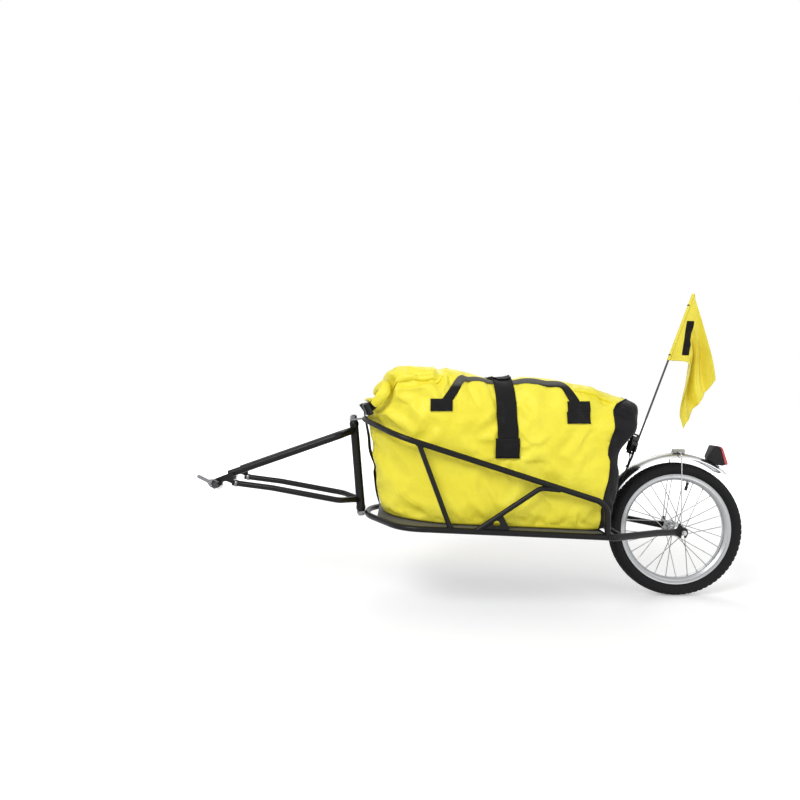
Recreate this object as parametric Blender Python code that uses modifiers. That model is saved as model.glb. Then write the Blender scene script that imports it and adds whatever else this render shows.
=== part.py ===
"""Single-wheel cargo trailer with a packed dry bag, a fender, a tail light and a flag.

Metres. The origin is the middle of the hitch's skewer, which the towing axle holds.
+X points rearwards, +Y to the trailer's right and +Z up.
"""
import math

import bmesh
import bpy
from mathutils import Matrix, Vector

NAME = "cargo_trailer"
SIDES = (("left", -1), ("right", 1))
UP = Vector((0, 0, 1))
ACROSS = Vector((0, 1, 0))

# Clearances
GAP = 0.0003                    # between pieces that touch, or turn on each other
WHEEL_GAP = 0.0003              # between hub and axle
HOLE_SIDES = 12                 # facets of a plate's round hole

# Towing axle that the hitch fits
HUB_WIDTH = 0.130               # towing hub over its locknuts
TOWING_DROPOUT = 0.0055         # thickness of one towing dropout

# Hitch skewer and bobbins
SKEWER_R = 0.0025
CORE_R = 0.0075
FLANGE_R = 0.011
FLANGE_T = 0.0025
SIDE_PLAY = 0.0005              # between a hook plate and a bobbin flange
CAM_R = 0.0085
CAM_LENGTH = 0.0137
CAM_SHAFT_R = 0.0037
CAM_SHAFT_OFFSET = 0.0067       # from the drum's inner end to the lever's axis
LEVER_LENGTH = 0.055
LEVER_WIDTH = 0.009
LEVER_T = 0.005
LEVER_RISE = math.radians(26)   # of the closed lever, which points forwards
CHEEK_T = 0.0022
NUT_R = 0.009
NUT_LENGTH = 0.0105

# Hook plates, in X and Z round the skewer
HOOK_T = 0.005
HOOK_SLOT_R = 0.008
HOOK_R = 0.0155
HOOK_JAW = 0.0115               # depth of the front jaw below the skewer
HOOK_TOOTH = 0.0035             # depth of the rear jaw
HOOK_BACK = 0.0465
HOOK_CHAMFER = 0.0035
HOOK_TOOTH_BACK = 0.0130
# Lower edge of the plate as X from its back edge, and Z, from the back to the slot
HOOK_UNDERSIDE = ((0.0, -0.0010), (-0.0047, 0.0016), (-0.0195, 0.0077), (-0.0310, 0.0068))
HOOK_TOP_RISE = math.radians(21)

# Latches
LATCH_T = 0.002
LATCH_IN_R = 0.0122             # the arm passes round the bobbin's flange
LATCH_OUT_R = 0.0168
LATCH_EYE_R = 0.005
LATCH_PIN = (0.0209, 0.0200)
LATCH_PIN_R = 0.002
LATCH_HEAD_R = 0.004
LATCH_HEAD_T = 0.0012

# Fork
UPPER_ARM_R = 0.010
LOWER_ARM_R = 0.008
ARM_BEND_AHEAD = 0.050          # bend of the arms ahead of the steering axis
ARM_BEND_R = 0.030
UPPER_ARM_START = (0.030, 0.0258)
UPPER_ARM_BEND_DROP = 0.0134    # bend below the arm's end
UPPER_ARM_BELOW_TOP = 0.0239    # end of the arm below the head tube's top
LOWER_ARM_START = (0.040, 0.0020)
LOWER_ARM_KINK = (0.150, -0.0125)
LOWER_ARM_BEND_RISE = 0.0080
LOWER_ARM_ABOVE_BOTTOM = 0.0304

# Steering axis: it crosses Z = 0 here, and its top leans forwards
STEER_X = 0.385
STEER_LEAN = math.radians(4.66)
HEAD_R = 0.0122
HEAD_BORE_R = 0.009
HEAD_BOTTOM = -0.0856
HEAD_TOP = 0.1700
BUSH_FLANGE_R = 0.0112
BUSH_FLANGE_T = 0.0025
BUSH_LENGTH = 0.014
PIN_R = 0.006
EYE_R = 0.0125
EYE_T = 0.005
LOWER_EYE_T = 0.006
TONGUE_HALF = 0.012
NUT_HEX_R = 0.0095
NUT_HEX_T = 0.008
PIN_HEAD_T = 0.006
PIN_END = 0.0026

# Cargo frame: two hoops in plan, each falling rearwards in side view. Names that end in BACK
# measure rearwards from the steering axis, or from what their comment says.
FRAME_HALF = 0.200
NOSE_HALF = 0.045
SHOULDER_X = 0.0953             # from a hoop's nose to its shoulder corner
NOSE_BEND_R = 0.120
SHOULDER_BEND_R = 0.090
UPPER_RAIL_R = 0.0077
UPPER_NOSE_BACK = 0.0323        # behind its bracket's eye
UPPER_NOSE_RISE = 0.0020        # above its bracket's middle
UPPER_REF_BACK = 0.1582
UPPER_REF_Z = 0.1256
UPPER_SLOPE = math.tan(math.radians(17.95))
UPRIGHT_BACK = 0.647
UPRIGHT_BEND_R = 0.040
LOWER_RAIL_R = 0.008
LOWER_NOSE_BACK = 0.0190        # behind its bracket's eye
LOWER_NOSE_RISE = 0.0007        # above its bracket's middle
LOWER_SLOPE = math.tan(math.radians(2.5))
RAIL_TAIL = 0.009               # lower rail past the upright
CROSS_AHEAD = 0.002             # cross tube ahead of the upright
CROSS_R = 0.007
STRUT_R = 0.0065
FRONT_STRUT_TOP_BACK = 0.1662
FRONT_STRUT_FOOT_BACK = 0.249
REAR_STRUT_FOOT_BACK = 0.310
REAR_STRUT_BEND_BACK = 0.477
REAR_STRUT_BEND_R = 0.035
REAR_STRUT_END_BACK = 0.527
GUSSET_T = 0.003
GUSSET_FRONT_BACK = 0.011       # from here on behind the rear strut's foot
GUSSET_REAR_BACK = 0.086
GUSSET_TOP_BACK = 0.069
GUSSET_HOLE_BACK = 0.0548
GUSSET_HOLE_RISE = 0.0216       # above the lower rail's middle
GUSSET_HOLE_R = 0.0085
FLOOR_T = 0.0015
FLOOR_RISE = 0.005              # underside above the rails' middle
FLOOR_FRONT_BACK = 0.0305       # behind the lower hoop's nose
FLOOR_INSET = 0.0070
FLOOR_LAP = 0.001               # over the cross tube's front

# Rear arms, fender bridge and wheel axle
WHEEL_BACK = 0.2615             # axle behind the upright
WHEEL_Z = -0.139
ARM_R = 0.009
ARM_SHOULDER_BACK = 0.011       # behind the rail's end
ARM_SHOULDER_R = 0.025
ARM_KNEE_STEP = (-0.0890, 0.0446, 0.0082)   # from the left or right end of the hub's locknuts
ARM_KNEE_R = 0.060
ARM_END_STEP = (-0.0255, 0.0038, 0.0010)
OVER_LOCKNUTS = 0.100
DROPOUT_T = 0.0045
# Dropout in X and Z from the axle
DROPOUT_FRONT = 0.0335
DROPOUT_FRONT_LOW = -0.0060
DROPOUT_FRONT_HIGH = 0.0075
DROPOUT_CHIN = (-0.0130, -0.0105)
DROPOUT_BROW = (-0.0150, 0.0110)
DROPOUT_R = 0.0145
SLOT_DEPTH = 0.0150
SLOT_HORN = 0.0045
AXLE_R = 0.004
CONE_R = 0.007
CONE_T = 0.005
AXLE_NUT_T = 0.0092
AXLE_NUT_R = 0.0075
AXLE_STICKOUT = 0.002
EYELET = (-0.0063, 0.0205)
EYELET_R = 0.0048

# Wheel
TYRE_HALF = 0.022
RIM_R = 0.158
RIM_DEPTH = 0.018
RIM_WALL = 0.010                # depth of the rim's straight side
TYRE_HEIGHT = 0.0325            # tread above the rim's edge
RIM_HALF = 0.0125
HUB_BARREL_R = 0.0105
HUB_FLANGE_R = 0.0195
HUB_FLANGE_Y = 0.026
HUB_FLANGE_T = 0.003
SPOKES = 28
SPOKE_R = 0.0009
SPOKE_CIRCLE_R = 0.0165
SPOKE_CROSSING = math.radians(64)   # turned at the hub from the spoke's place at the rim
SPOKE_STAGGER = 0.0022              # in or out of the flange's middle
VALVE_R = 0.003
VALVE_LENGTH = 0.020
VALVE_ANGLE = math.radians(73.3)

# Fender, its stay and the light on it
FENDER_CLEARANCE = 0.027        # fender over the tyre
FENDER_DROP = 0.012             # from crown to edge
FENDER_HALF = 0.029
FENDER_T = 0.0015
FENDER_FROM = math.radians(48)
FENDER_TO = math.radians(164)
BOLT_ANGLE = math.radians(160.5)
BOLT_R = 0.0025
BOLT_HEAD_R = 0.005
BOLT_HEAD_T = 0.003
BOLT_END_GAP = 0.001            # bolt's end plate under the fender
BRIDGE_BEHIND = 0.0054          # middle of the bridge behind the middle of its tab
BRIDGE_R = 0.008
TAB_HALF = 0.010
TAB_T = 0.0025
TAB_ABOVE = 0.008
TAB_PAST = 0.005                # tab past the middle of the bridge
STAY_R = 0.0016
STAY_ANGLE = math.radians(88.29)
STAY_HALF = 0.0335              # half width of the stay where it crosses the crown
STAY_BEND_R = 0.014
STAY_RISE = 0.003               # middle of the wire above the crown
CLIP_ANGLE = math.radians(86.7)
CLIP_LENGTH = 0.031
CLIP_HALF = 0.008
CLIP_HEIGHT = 0.011
LIGHT_HALF = 0.025
LIGHT_ANGLE = math.radians(60.07)
# Side of the light in X and Z from its seat; the crown cuts its underside
LIGHT_OUTLINE = ((-0.0260, 0.0192), (-0.0025, 0.0503), (0.0160, 0.0503), (0.0195, 0.0450),
                 (0.0345, -0.0040), (0.0220, -0.0072), (0.0, -0.0040), (-0.0240, 0.0080))
LENS_T = 0.0040                 # at its top
LENS_FOOT_T = 0.0028
LENS_MARGIN = 0.003
LENS_HALF = 0.022

# Flag
POLE_R = 0.003
POLE_LEAN = math.radians(20.8)
POLE_AHEAD = 0.143              # holder on the right rear arm, ahead of the wheel's axle
POLE_LENGTH = 0.7607
HOLDER_R = 0.0055
HOLDER_BELOW = 0.025
HOLDER_ABOVE = 0.045
HOLDER_FLOOR = 0.004
HOIST = 0.2225                  # length of the flag's sleeve
SLEEVE_R = 0.0048
FLAG_T = 0.0012
FLAG_DEPTH = 0.045              # how far the middle of the cloth blows aside
FLAG_FULL_AT = 0.625            # share of the way to the fly where it does so in full
# Edges of the hanging cloth as X and Z from the top of the pole, each from the pole to the fly
FLAG_TOP_EDGE = ((0.0000, 0.0000), (0.0228, -0.0700), (0.0456, -0.1459), (0.0606, -0.2065),
                 (0.0703, -0.2555))
FLAG_BOTTOM_EDGE = ((-0.0790, -0.2080), (-0.0131, -0.2196), (-0.0228, -0.2858), (-0.0440, -0.3700),
                    (-0.0303, -0.4242))

# Bag: its top line as X behind the steering axis, and Z
BAG_TOP = ((0.007, 0.230), (0.045, 0.262), (0.081, 0.310), (0.105, 0.323), (0.234, 0.320),
           (0.292, 0.308), (0.407, 0.304), (0.522, 0.295), (0.609, 0.281), (0.695, 0.258),
           (0.744, 0.238), (0.775, 0.215))
BAG_SIDE_GAP = 0.021            # widest part of the bag inside the rail's middle
# Its sections: height share, front behind the steering axis, rear behind the upright, width share
BAG_SECTIONS = ((0.000, 0.085, -0.006, 0.754), (0.030, 0.071, 0.002, 0.838), (0.200, 0.060, 0.020, 0.939),
                (0.400, 0.047, 0.050, 0.989), (0.580, 0.039, 0.076, 1.000), (0.720, 0.036, 0.104, 0.978),
                (0.840, 0.039, 0.114, 0.894), (0.930, 0.051, 0.110, 0.682), (0.980, 0.070, 0.088, 0.413),
                (1.000, 0.105, 0.028, 0.145))
BAG_ROUNDING = 0.200            # length of the rounded front in plan
BAG_REAR_ROUNDING = 0.070
BAG_SEAM = ((-0.001, -0.025), (0.039, 0.2287))  # X behind the upright, and Z
ROLL_BACK = 0.033
ROLL_Z = 0.222
ROLL_R = 0.024
ROLL_HALF = 0.110
BUCKLE_REACH = 0.033            # ahead of the roll's axis
BUCKLE_Z = (0.196, 0.214)
BUCKLE_HALF = 0.020
WEB_T = 0.0030
STRAP_BACK = (0.372, 0.424)
STRAP_LOW_Z = 0.082
HANDLE_WEB = 0.024
HANDLE_PATCH_BACK = (0.226, 0.576)
HANDLE_PATCH_Z = (0.219, 0.198)
HANDLE_PATCH_SIZE = (0.058, 0.036)
HANDLE_TOP_BACK = (0.287, 0.560)
HANDLE_TOP_DROP = 0.030         # below the bag's top line
HANDLE_INNER_Y = 0.060

# Sizes that follow from the ones above
CLAMP_Y = HUB_WIDTH / 2 + TOWING_DROPOUT
HOOK_INNER_Y = CLAMP_Y + FLANGE_T + SIDE_PLAY
HOOK_OUTER_Y = HOOK_INNER_Y + HOOK_T
BOBBIN_OUTER_Y = HOOK_OUTER_Y + SIDE_PLAY + FLANGE_T
LEVER_Y = -(BOBBIN_OUTER_Y + GAP + CAM_SHAFT_OFFSET)
STEER_AXIS = Vector((-math.sin(STEER_LEAN), 0, math.cos(STEER_LEAN)))
STEER_ORIGIN = Vector((STEER_X, 0, 0))
UPPER_BRACKET_AT = HEAD_TOP + 2 * GAP + BUSH_FLANGE_T + EYE_T / 2     # middles along the axis
LOWER_BRACKET_AT = HEAD_BOTTOM - 2 * GAP - BUSH_FLANGE_T - LOWER_EYE_T / 2
UPPER_NOSE = STEER_ORIGIN + STEER_AXIS * UPPER_BRACKET_AT + Vector((UPPER_NOSE_BACK, 0, UPPER_NOSE_RISE))
LOWER_NOSE = STEER_ORIGIN + STEER_AXIS * LOWER_BRACKET_AT + Vector((LOWER_NOSE_BACK, 0, LOWER_NOSE_RISE))
UPRIGHT_X = STEER_X + UPRIGHT_BACK
RAIL_END_X = UPRIGHT_X + RAIL_TAIL
CROSS_X = UPRIGHT_X - CROSS_AHEAD
STRUT_FOOT_X = STEER_X + REAR_STRUT_FOOT_BACK
WHEEL_X = UPRIGHT_X + WHEEL_BACK
WHEEL_CENTRE = Vector((WHEEL_X, 0, WHEEL_Z))
TYRE_R = RIM_R + TYRE_HEIGHT
RIM_INNER_R = RIM_R - RIM_DEPTH
FENDER_R = TYRE_R + FENDER_CLEARANCE
BOLT_OUT = Vector((math.cos(BOLT_ANGLE), 0, math.sin(BOLT_ANGLE)))
TAB_UP = Vector((math.sin(BOLT_ANGLE), 0, -math.cos(BOLT_ANGLE)))
TAB_AT = FENDER_R + GAP + TAB_T / 2     # middle of the tab from the wheel's axle
ROLL_X = STEER_X + ROLL_BACK
BAG_HALF = FRAME_HALF - BAG_SIDE_GAP
POLE_AXIS = Vector((math.sin(POLE_LEAN), 0, math.cos(POLE_LEAN)))
DROPOUT_Y = OVER_LOCKNUTS / 2

COLOURS = {
    "black_paint": ((0.012, 0.012, 0.014), 0.35, 0.0),
    "grey_paint": ((0.30, 0.31, 0.32), 0.40, 0.3),
    "dark_sheet": ((0.05, 0.052, 0.056), 0.55, 0.2),
    "zinc": ((0.55, 0.56, 0.58), 0.35, 1.0),
    "steel": ((0.70, 0.71, 0.73), 0.25, 1.0),
    "chrome": ((0.80, 0.81, 0.83), 0.10, 1.0),
    "aluminium": ((0.75, 0.76, 0.78), 0.30, 1.0),
    "rubber": ((0.018, 0.018, 0.019), 0.85, 0.0),
    "black_plastic": ((0.02, 0.02, 0.022), 0.45, 0.0),
    "red_lens": ((0.55, 0.01, 0.02), 0.15, 0.0),
    "pole": ((0.10, 0.10, 0.11), 0.45, 0.0),
    "yellow_cloth": ((0.85, 0.72, 0.02), 0.60, 0.0),
    "yellow_coated": ((0.84, 0.70, 0.03), 0.45, 0.0),
    "black_coated": ((0.02, 0.02, 0.022), 0.50, 0.0),
    "webbing": ((0.015, 0.015, 0.016), 0.80, 0.0),
}


def clear_scene():
    for obj in list(bpy.data.objects):
        bpy.data.objects.remove(obj, do_unlink=True)


def new_collection(name):
    collection = bpy.data.collections.new(name)
    bpy.context.scene.collection.children.link(collection)
    return collection


def new_material(piece, finish):
    colour, roughness, metallic = COLOURS[finish]
    material = bpy.data.materials.new(piece)
    material.use_nodes = True
    shader = material.node_tree.nodes["Principled BSDF"]
    shader.inputs["Base Color"].default_value = (*colour, 1.0)
    shader.inputs["Roughness"].default_value = roughness
    shader.inputs["Metallic"].default_value = metallic
    return material


def smooth(mesh):
    mesh.shade_smooth()
    mesh.set_sharp_from_angle(angle=math.radians(40))


def new_object(name, mesh):
    obj = bpy.data.objects.new(name, mesh)
    PARTS.objects.link(obj)
    return obj


def as_cutter(obj):
    """Keep a shape only as a tool for a Boolean."""
    PARTS.objects.unlink(obj)
    CUTTERS.objects.link(obj)
    obj.hide_render = True
    obj.display_type = 'WIRE'
    return obj


def boolean(target, tool, operation):
    if tool.name not in CUTTERS.objects:
        as_cutter(tool)
    step = target.modifiers.new(operation.lower(), 'BOOLEAN')
    step.operation = operation
    step.solver = 'EXACT'
    step.object = tool


def cut(target, tool):
    boolean(target, tool, 'DIFFERENCE')


def fuse(target, tool):
    boolean(target, tool, 'UNION')


def keep_common(target, tool):
    boolean(target, tool, 'INTERSECT')


def mesh_of(curve_object):
    """Turn a curve into a closed mesh object with the same name and place."""
    name = curve_object.name
    bpy.context.view_layer.update()
    seen = curve_object.evaluated_get(bpy.context.evaluated_depsgraph_get())
    mesh = bpy.data.meshes.new_from_object(seen)
    place = curve_object.matrix_world.copy()
    bpy.data.objects.remove(curve_object, do_unlink=True)
    shape = bmesh.new()
    shape.from_mesh(mesh)
    bmesh.ops.remove_doubles(shape, verts=shape.verts, dist=1e-6)
    bmesh.ops.recalc_face_normals(shape, faces=shape.faces)
    shape.to_mesh(mesh)
    shape.free()
    smooth(mesh)
    obj = new_object(name, mesh)
    obj.matrix_world = place
    return obj


def rounded_path(corners, max_turn=math.radians(15)):
    """Points of a bent tube: straight runs, with each (corner, radius) rounded to its radius."""
    points = [Vector(corners[0][0])]
    for (before, _), (corner, radius), (after, _) in zip(corners, corners[1:], corners[2:]):
        into = (Vector(corner) - Vector(before)).normalized()
        out = (Vector(after) - Vector(corner)).normalized()
        turn = into.angle(out)
        hinge = into.cross(out).normalized()
        start = Vector(corner) - into * radius * math.tan(turn / 2)
        centre = start + hinge.cross(into) * radius
        steps = max(1, math.ceil(turn / max_turn))
        for step in range(steps + 1):
            points.append(centre + Matrix.Rotation(turn * step / steps, 3, hinge) @ (start - centre))
    points.append(Vector(corners[-1][0]))
    return points


def mirrored(points, sign):
    return [Vector((point.x, point.y * sign, point.z)) for point in points]


def tube(name, points, radius, sides=12):
    """Solid rod of this radius along the points."""
    curve = bpy.data.curves.new(name, 'CURVE')
    curve.dimensions = '3D'
    curve.bevel_depth = radius
    curve.bevel_resolution = (sides - 4) // 2
    curve.use_fill_caps = True
    run = curve.splines.new('POLY')
    run.points.add(len(points) - 1)
    for spot, point in zip(run.points, points):
        spot.co = (*point, 1.0)
    return mesh_of(new_object(name, curve))


def turned(name, profile, base, axis, sides=24):
    """Body of revolution. The profile is (radius, height) down its outer side, then up its bore."""
    mesh = bpy.data.meshes.new(name)
    count = len(profile)
    closed = profile[0][0] > 0
    edges = [(i, (i + 1) % count) for i in range(count if closed else count - 1)]
    mesh.from_pydata([(radius, 0, height) for radius, height in profile], edges, [])
    obj = new_object(name, mesh)
    spin = obj.modifiers.new("turn", 'SCREW')
    spin.steps = sides
    spin.render_steps = sides
    spin.use_merge_vertices = True
    spin.merge_threshold = 1e-6
    spin.use_smooth_shade = False
    obj.rotation_mode = 'QUATERNION'
    obj.rotation_quaternion = UP.rotation_difference(axis)
    obj.location = base
    return obj


def ring(outer, inner, low, high):
    """Profile of a plain ring for turned()."""
    return [(outer, high), (outer, low), (inner, low), (inner, high)]


def rod_profile(radius, low, high):
    return [(0, high), (radius, high), (radius, low), (0, low)]


def plate(name, outline, thickness, place, holes=()):
    """Flat plate from an outline, and circular holes as (x, y, radius), turned to its place."""
    curve = bpy.data.curves.new(name, 'CURVE')
    curve.dimensions = '2D'
    curve.fill_mode = 'BOTH'
    curve.extrude = thickness / 2
    loops = [outline] + [arc(x, y, radius, 0, 360, HOLE_SIDES)[:-1] for x, y, radius in holes]
    for loop in loops:
        edge = curve.splines.new('POLY')
        edge.points.add(len(loop) - 1)
        edge.use_cyclic_u = True
        for spot, point in zip(edge.points, loop):
            spot.co = (point[0], point[1], 0, 1)
    flat = new_object(name, curve)
    flat.matrix_world = place
    return mesh_of(flat)


def arc(x, y, radius, start, end, steps):
    """Points of an arc, from and to angles in degrees."""
    angles = [math.radians(start + (end - start) * step / steps) for step in range(steps + 1)]
    return [(x + radius * math.cos(angle), y + radius * math.sin(angle)) for angle in angles]


def side_view(y):
    """Place of a plate whose outline is drawn in X and Z, at this Y."""
    return Matrix(((1, 0, 0, 0), (0, 0, -1, y), (0, 1, 0, 0), (0, 0, 0, 1)))


def box(name, low, high):
    shape = bmesh.new()
    bmesh.ops.create_cube(shape, size=1)
    size = Vector(high) - Vector(low)
    centre = (Vector(high) + Vector(low)) / 2
    bmesh.ops.scale(shape, vec=size, verts=shape.verts)
    bmesh.ops.translate(shape, vec=centre, verts=shape.verts)
    mesh = bpy.data.meshes.new(name)
    shape.to_mesh(mesh)
    shape.free()
    return new_object(name, mesh)


def finish(obj, colour, body):
    """Give a finished piece its material and hang it on its body's pivot."""
    obj.data.materials.clear()
    obj.data.materials.append(new_material(obj.name, colour))
    obj.parent = body
    obj.matrix_parent_inverse = PIVOT_PLACE[body.name].inverted()
    return obj


PIVOT_PLACE = {}


def pivot(name, place, parent=None):
    """Empty on a joint's axis."""
    empty = bpy.data.objects.new(name, None)
    PARTS.objects.link(empty)
    empty.empty_display_size = 0.03
    PIVOT_PLACE[name] = Matrix.Translation(place)
    empty.location = place
    if parent is not None:
        empty.parent = parent
        empty.matrix_parent_inverse = PIVOT_PLACE[parent.name].inverted()
    return empty


def on_steer(t):
    """Point on the steering axis, this far along it from Z = 0."""
    return STEER_ORIGIN + STEER_AXIS * t


def upper_z(x):
    return UPPER_REF_Z - UPPER_SLOPE * (x - STEER_X - UPPER_REF_BACK)


def lower_z(x):
    return LOWER_NOSE.z - LOWER_SLOPE * (x - LOWER_NOSE.x)


def upper_rail_path():
    shoulder = UPPER_NOSE.x + SHOULDER_X
    corner_z = upper_z(UPRIGHT_X)
    return rounded_path([
        ((UPPER_NOSE.x, GAP / 2, UPPER_NOSE.z), 0),
        ((UPPER_NOSE.x, NOSE_HALF, UPPER_NOSE.z), NOSE_BEND_R),
        ((shoulder, FRAME_HALF, upper_z(shoulder)), SHOULDER_BEND_R),
        ((UPRIGHT_X, FRAME_HALF, corner_z), UPRIGHT_BEND_R),
        ((UPRIGHT_X, FRAME_HALF, lower_z(UPRIGHT_X)), 0),
    ])


def lower_rail_path():
    shoulder = LOWER_NOSE.x + SHOULDER_X
    return rounded_path([
        ((LOWER_NOSE.x, GAP / 2, LOWER_NOSE.z), 0),
        ((LOWER_NOSE.x, NOSE_HALF, LOWER_NOSE.z), NOSE_BEND_R),
        ((shoulder, FRAME_HALF, lower_z(shoulder)), SHOULDER_BEND_R),
        ((RAIL_END_X, FRAME_HALF, lower_z(RAIL_END_X)), 0),
    ])


def rear_arm_path():
    start_x = RAIL_END_X + GAP
    shoulder_x = RAIL_END_X + ARM_SHOULDER_BACK
    locknut = WHEEL_CENTRE + ACROSS * DROPOUT_Y
    return rounded_path([
        ((start_x, FRAME_HALF, lower_z(start_x)), 0),
        ((shoulder_x, FRAME_HALF, lower_z(shoulder_x)), ARM_SHOULDER_R),
        (locknut + Vector(ARM_KNEE_STEP), ARM_KNEE_R),
        (locknut + Vector(ARM_END_STEP), 0),
    ])


def where(path, measure):
    """Point of a path at which this measure changes its sign, and the path's direction there."""
    for before, after in zip(path, path[1:]):
        low, high = measure(before), measure(after)
        if low * high <= 0:
            break
    return before.lerp(after, low / (low - high)), (after - before).normalized()


def rear_strut_path():
    below_rail = (UPPER_RAIL_R + STRUT_R + GAP) * math.hypot(1, UPPER_SLOPE)
    bend_x = STEER_X + REAR_STRUT_BEND_BACK
    end_x = STEER_X + REAR_STRUT_END_BACK
    return rounded_path([
        ((STRUT_FOOT_X, FRAME_HALF, lower_z(STRUT_FOOT_X)), 0),
        ((bend_x, FRAME_HALF, upper_z(bend_x) - below_rail), REAR_STRUT_BEND_R),
        ((end_x, FRAME_HALF, upper_z(end_x) - below_rail), 0),
    ])


def hitch(body, lever_body):
    nut_end = BOBBIN_OUTER_Y + GAP + NUT_LENGTH
    cam_inner = BOBBIN_OUTER_Y + GAP
    rod_end = cam_inner + CAM_SHAFT_OFFSET - CAM_SHAFT_R - 2 * GAP
    bore = SKEWER_R + GAP
    skewer = turned("hitch_skewer", rod_profile(SKEWER_R, -rod_end, nut_end - GAP), Vector(), ACROSS, 16)
    finish(skewer, "steel", body)
    for side, sign in SIDES:
        profile = [(FLANGE_R, BOBBIN_OUTER_Y), (FLANGE_R, BOBBIN_OUTER_Y - FLANGE_T),
                   (CORE_R, BOBBIN_OUTER_Y - FLANGE_T), (CORE_R, CLAMP_Y + FLANGE_T),
                   (FLANGE_R, CLAMP_Y + FLANGE_T), (FLANGE_R, CLAMP_Y),
                   (bore, CLAMP_Y), (bore, BOBBIN_OUTER_Y)]
        finish(turned("bobbin_" + side, profile, Vector(), ACROSS * sign, 24), "steel", body)
    nut = turned("skewer_nut", ring(NUT_R, bore, cam_inner, nut_end), Vector(), ACROSS, 20)
    finish(nut, "steel", body)

    drum_end = cam_inner + CAM_LENGTH
    hole_end = rod_end + GAP
    drum = turned("skewer_cam", [(0, drum_end), (CAM_R, drum_end), (CAM_R, cam_inner), (bore, cam_inner),
                                 (bore, hole_end), (0, hole_end)], Vector(), -ACROSS, 20)
    pointing = Vector((-math.cos(LEVER_RISE), 0, math.sin(LEVER_RISE)))
    axis = Vector((math.sin(LEVER_RISE), 0, math.cos(LEVER_RISE)))
    middle = Vector((0, LEVER_Y, 0))
    cut(drum, turned("cam_bore", rod_profile(CAM_SHAFT_R + GAP, -2 * CAM_R, 2 * CAM_R), middle, axis, 16))
    finish(drum, "aluminium", body)

    cheek_in = CAM_R + 2 * GAP
    cheek_out = cheek_in + CHEEK_T
    bridge = math.hypot(CAM_R, CAM_LENGTH - CAM_SHAFT_OFFSET) + GAP
    half = LEVER_WIDTH / 2
    outline = [(-half, cheek_out), (-half, cheek_in), (bridge, cheek_in), (bridge, -cheek_in),
               (-half, -cheek_in), (-half, -cheek_out), (bridge, -cheek_out), (2 * bridge, -half)]
    outline += arc(LEVER_LENGTH - half, 0, half, -90, 90, 8)
    outline += [(2 * bridge, half), (bridge, cheek_out)]
    turned_to = Matrix((pointing, axis, pointing.cross(axis))).transposed().to_4x4()
    lever = plate("skewer_lever", outline, LEVER_T, Matrix.Translation(middle) @ turned_to)
    fuse(lever, turned("cam_shaft", rod_profile(CAM_SHAFT_R, -cheek_out, cheek_out), middle, axis, 16))
    finish(lever, "steel", lever_body)


def hook_outline():
    """Hook with its slot open downwards, round the skewer, in X and Z."""
    tip_angle = 180 + math.degrees(math.asin(HOOK_JAW / HOOK_R))
    top_angle = 90 + math.degrees(HOOK_TOP_RISE)
    tangent = Vector((math.cos(HOOK_TOP_RISE), math.sin(HOOK_TOP_RISE)))
    top_start = Vector((-math.sin(HOOK_TOP_RISE), math.cos(HOOK_TOP_RISE))) * HOOK_R
    top_end = top_start + tangent * (HOOK_BACK - HOOK_CHAMFER - top_start.x) / tangent.x
    points = arc(0, 0, HOOK_SLOT_R, 0, 180, 10)
    points.append((-HOOK_SLOT_R, -HOOK_JAW))
    points += arc(0, 0, HOOK_R, tip_angle, top_angle, 9)
    points += [tuple(top_end), (HOOK_BACK, top_end.y - HOOK_CHAMFER)]
    points += [(HOOK_BACK + x, z) for x, z in HOOK_UNDERSIDE]
    points += [(HOOK_TOOTH_BACK, -HOOK_TOOTH), (HOOK_SLOT_R, -HOOK_TOOTH)]
    return points


def latch_outline():
    """Arm from the rivet round the bobbin's flange to a jaw under it, in X and Z."""
    pin_x, pin_z = LATCH_PIN
    outer = arc(0, 0, LATCH_OUT_R, 12, -96, 9)
    inner = arc(0, 0, LATCH_IN_R, -98, 20, 9)
    eye = arc(pin_x, pin_z, LATCH_EYE_R, 200, -20, 9)
    return outer + inner + eye


def hook_and_latch(side, sign, fork_body, latch_body):
    """Hook plate with the rivet that is staked in it, and the latch that turns on the rivet."""
    pin_x, pin_z = LATCH_PIN
    outer_face = HOOK_INNER_Y - GAP
    inner_face = outer_face - LATCH_T
    blade = plate("latch_" + side, latch_outline(), LATCH_T, side_view(sign * (outer_face + inner_face) / 2),
                  [(pin_x, pin_z, LATCH_PIN_R + GAP)])
    finish(blade, "zinc", latch_body)
    middle = (HOOK_INNER_Y + HOOK_OUTER_Y) / 2
    hook = plate("hook_plate_" + side, hook_outline(), HOOK_T, side_view(sign * middle))
    low = inner_face - GAP
    high = HOOK_OUTER_Y + LATCH_HEAD_T
    profile = [(0, high), (LATCH_HEAD_R, high), (LATCH_HEAD_R, middle), (LATCH_PIN_R, middle),
               (LATCH_PIN_R, low), (LATCH_HEAD_R, low), (LATCH_HEAD_R, low - LATCH_HEAD_T),
               (0, low - LATCH_HEAD_T)]
    fuse(hook, turned("latch_rivet_" + side, profile, Vector((pin_x, 0, pin_z)), ACROSS * sign, 12))
    finish(hook, "black_paint", fork_body)


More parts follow.
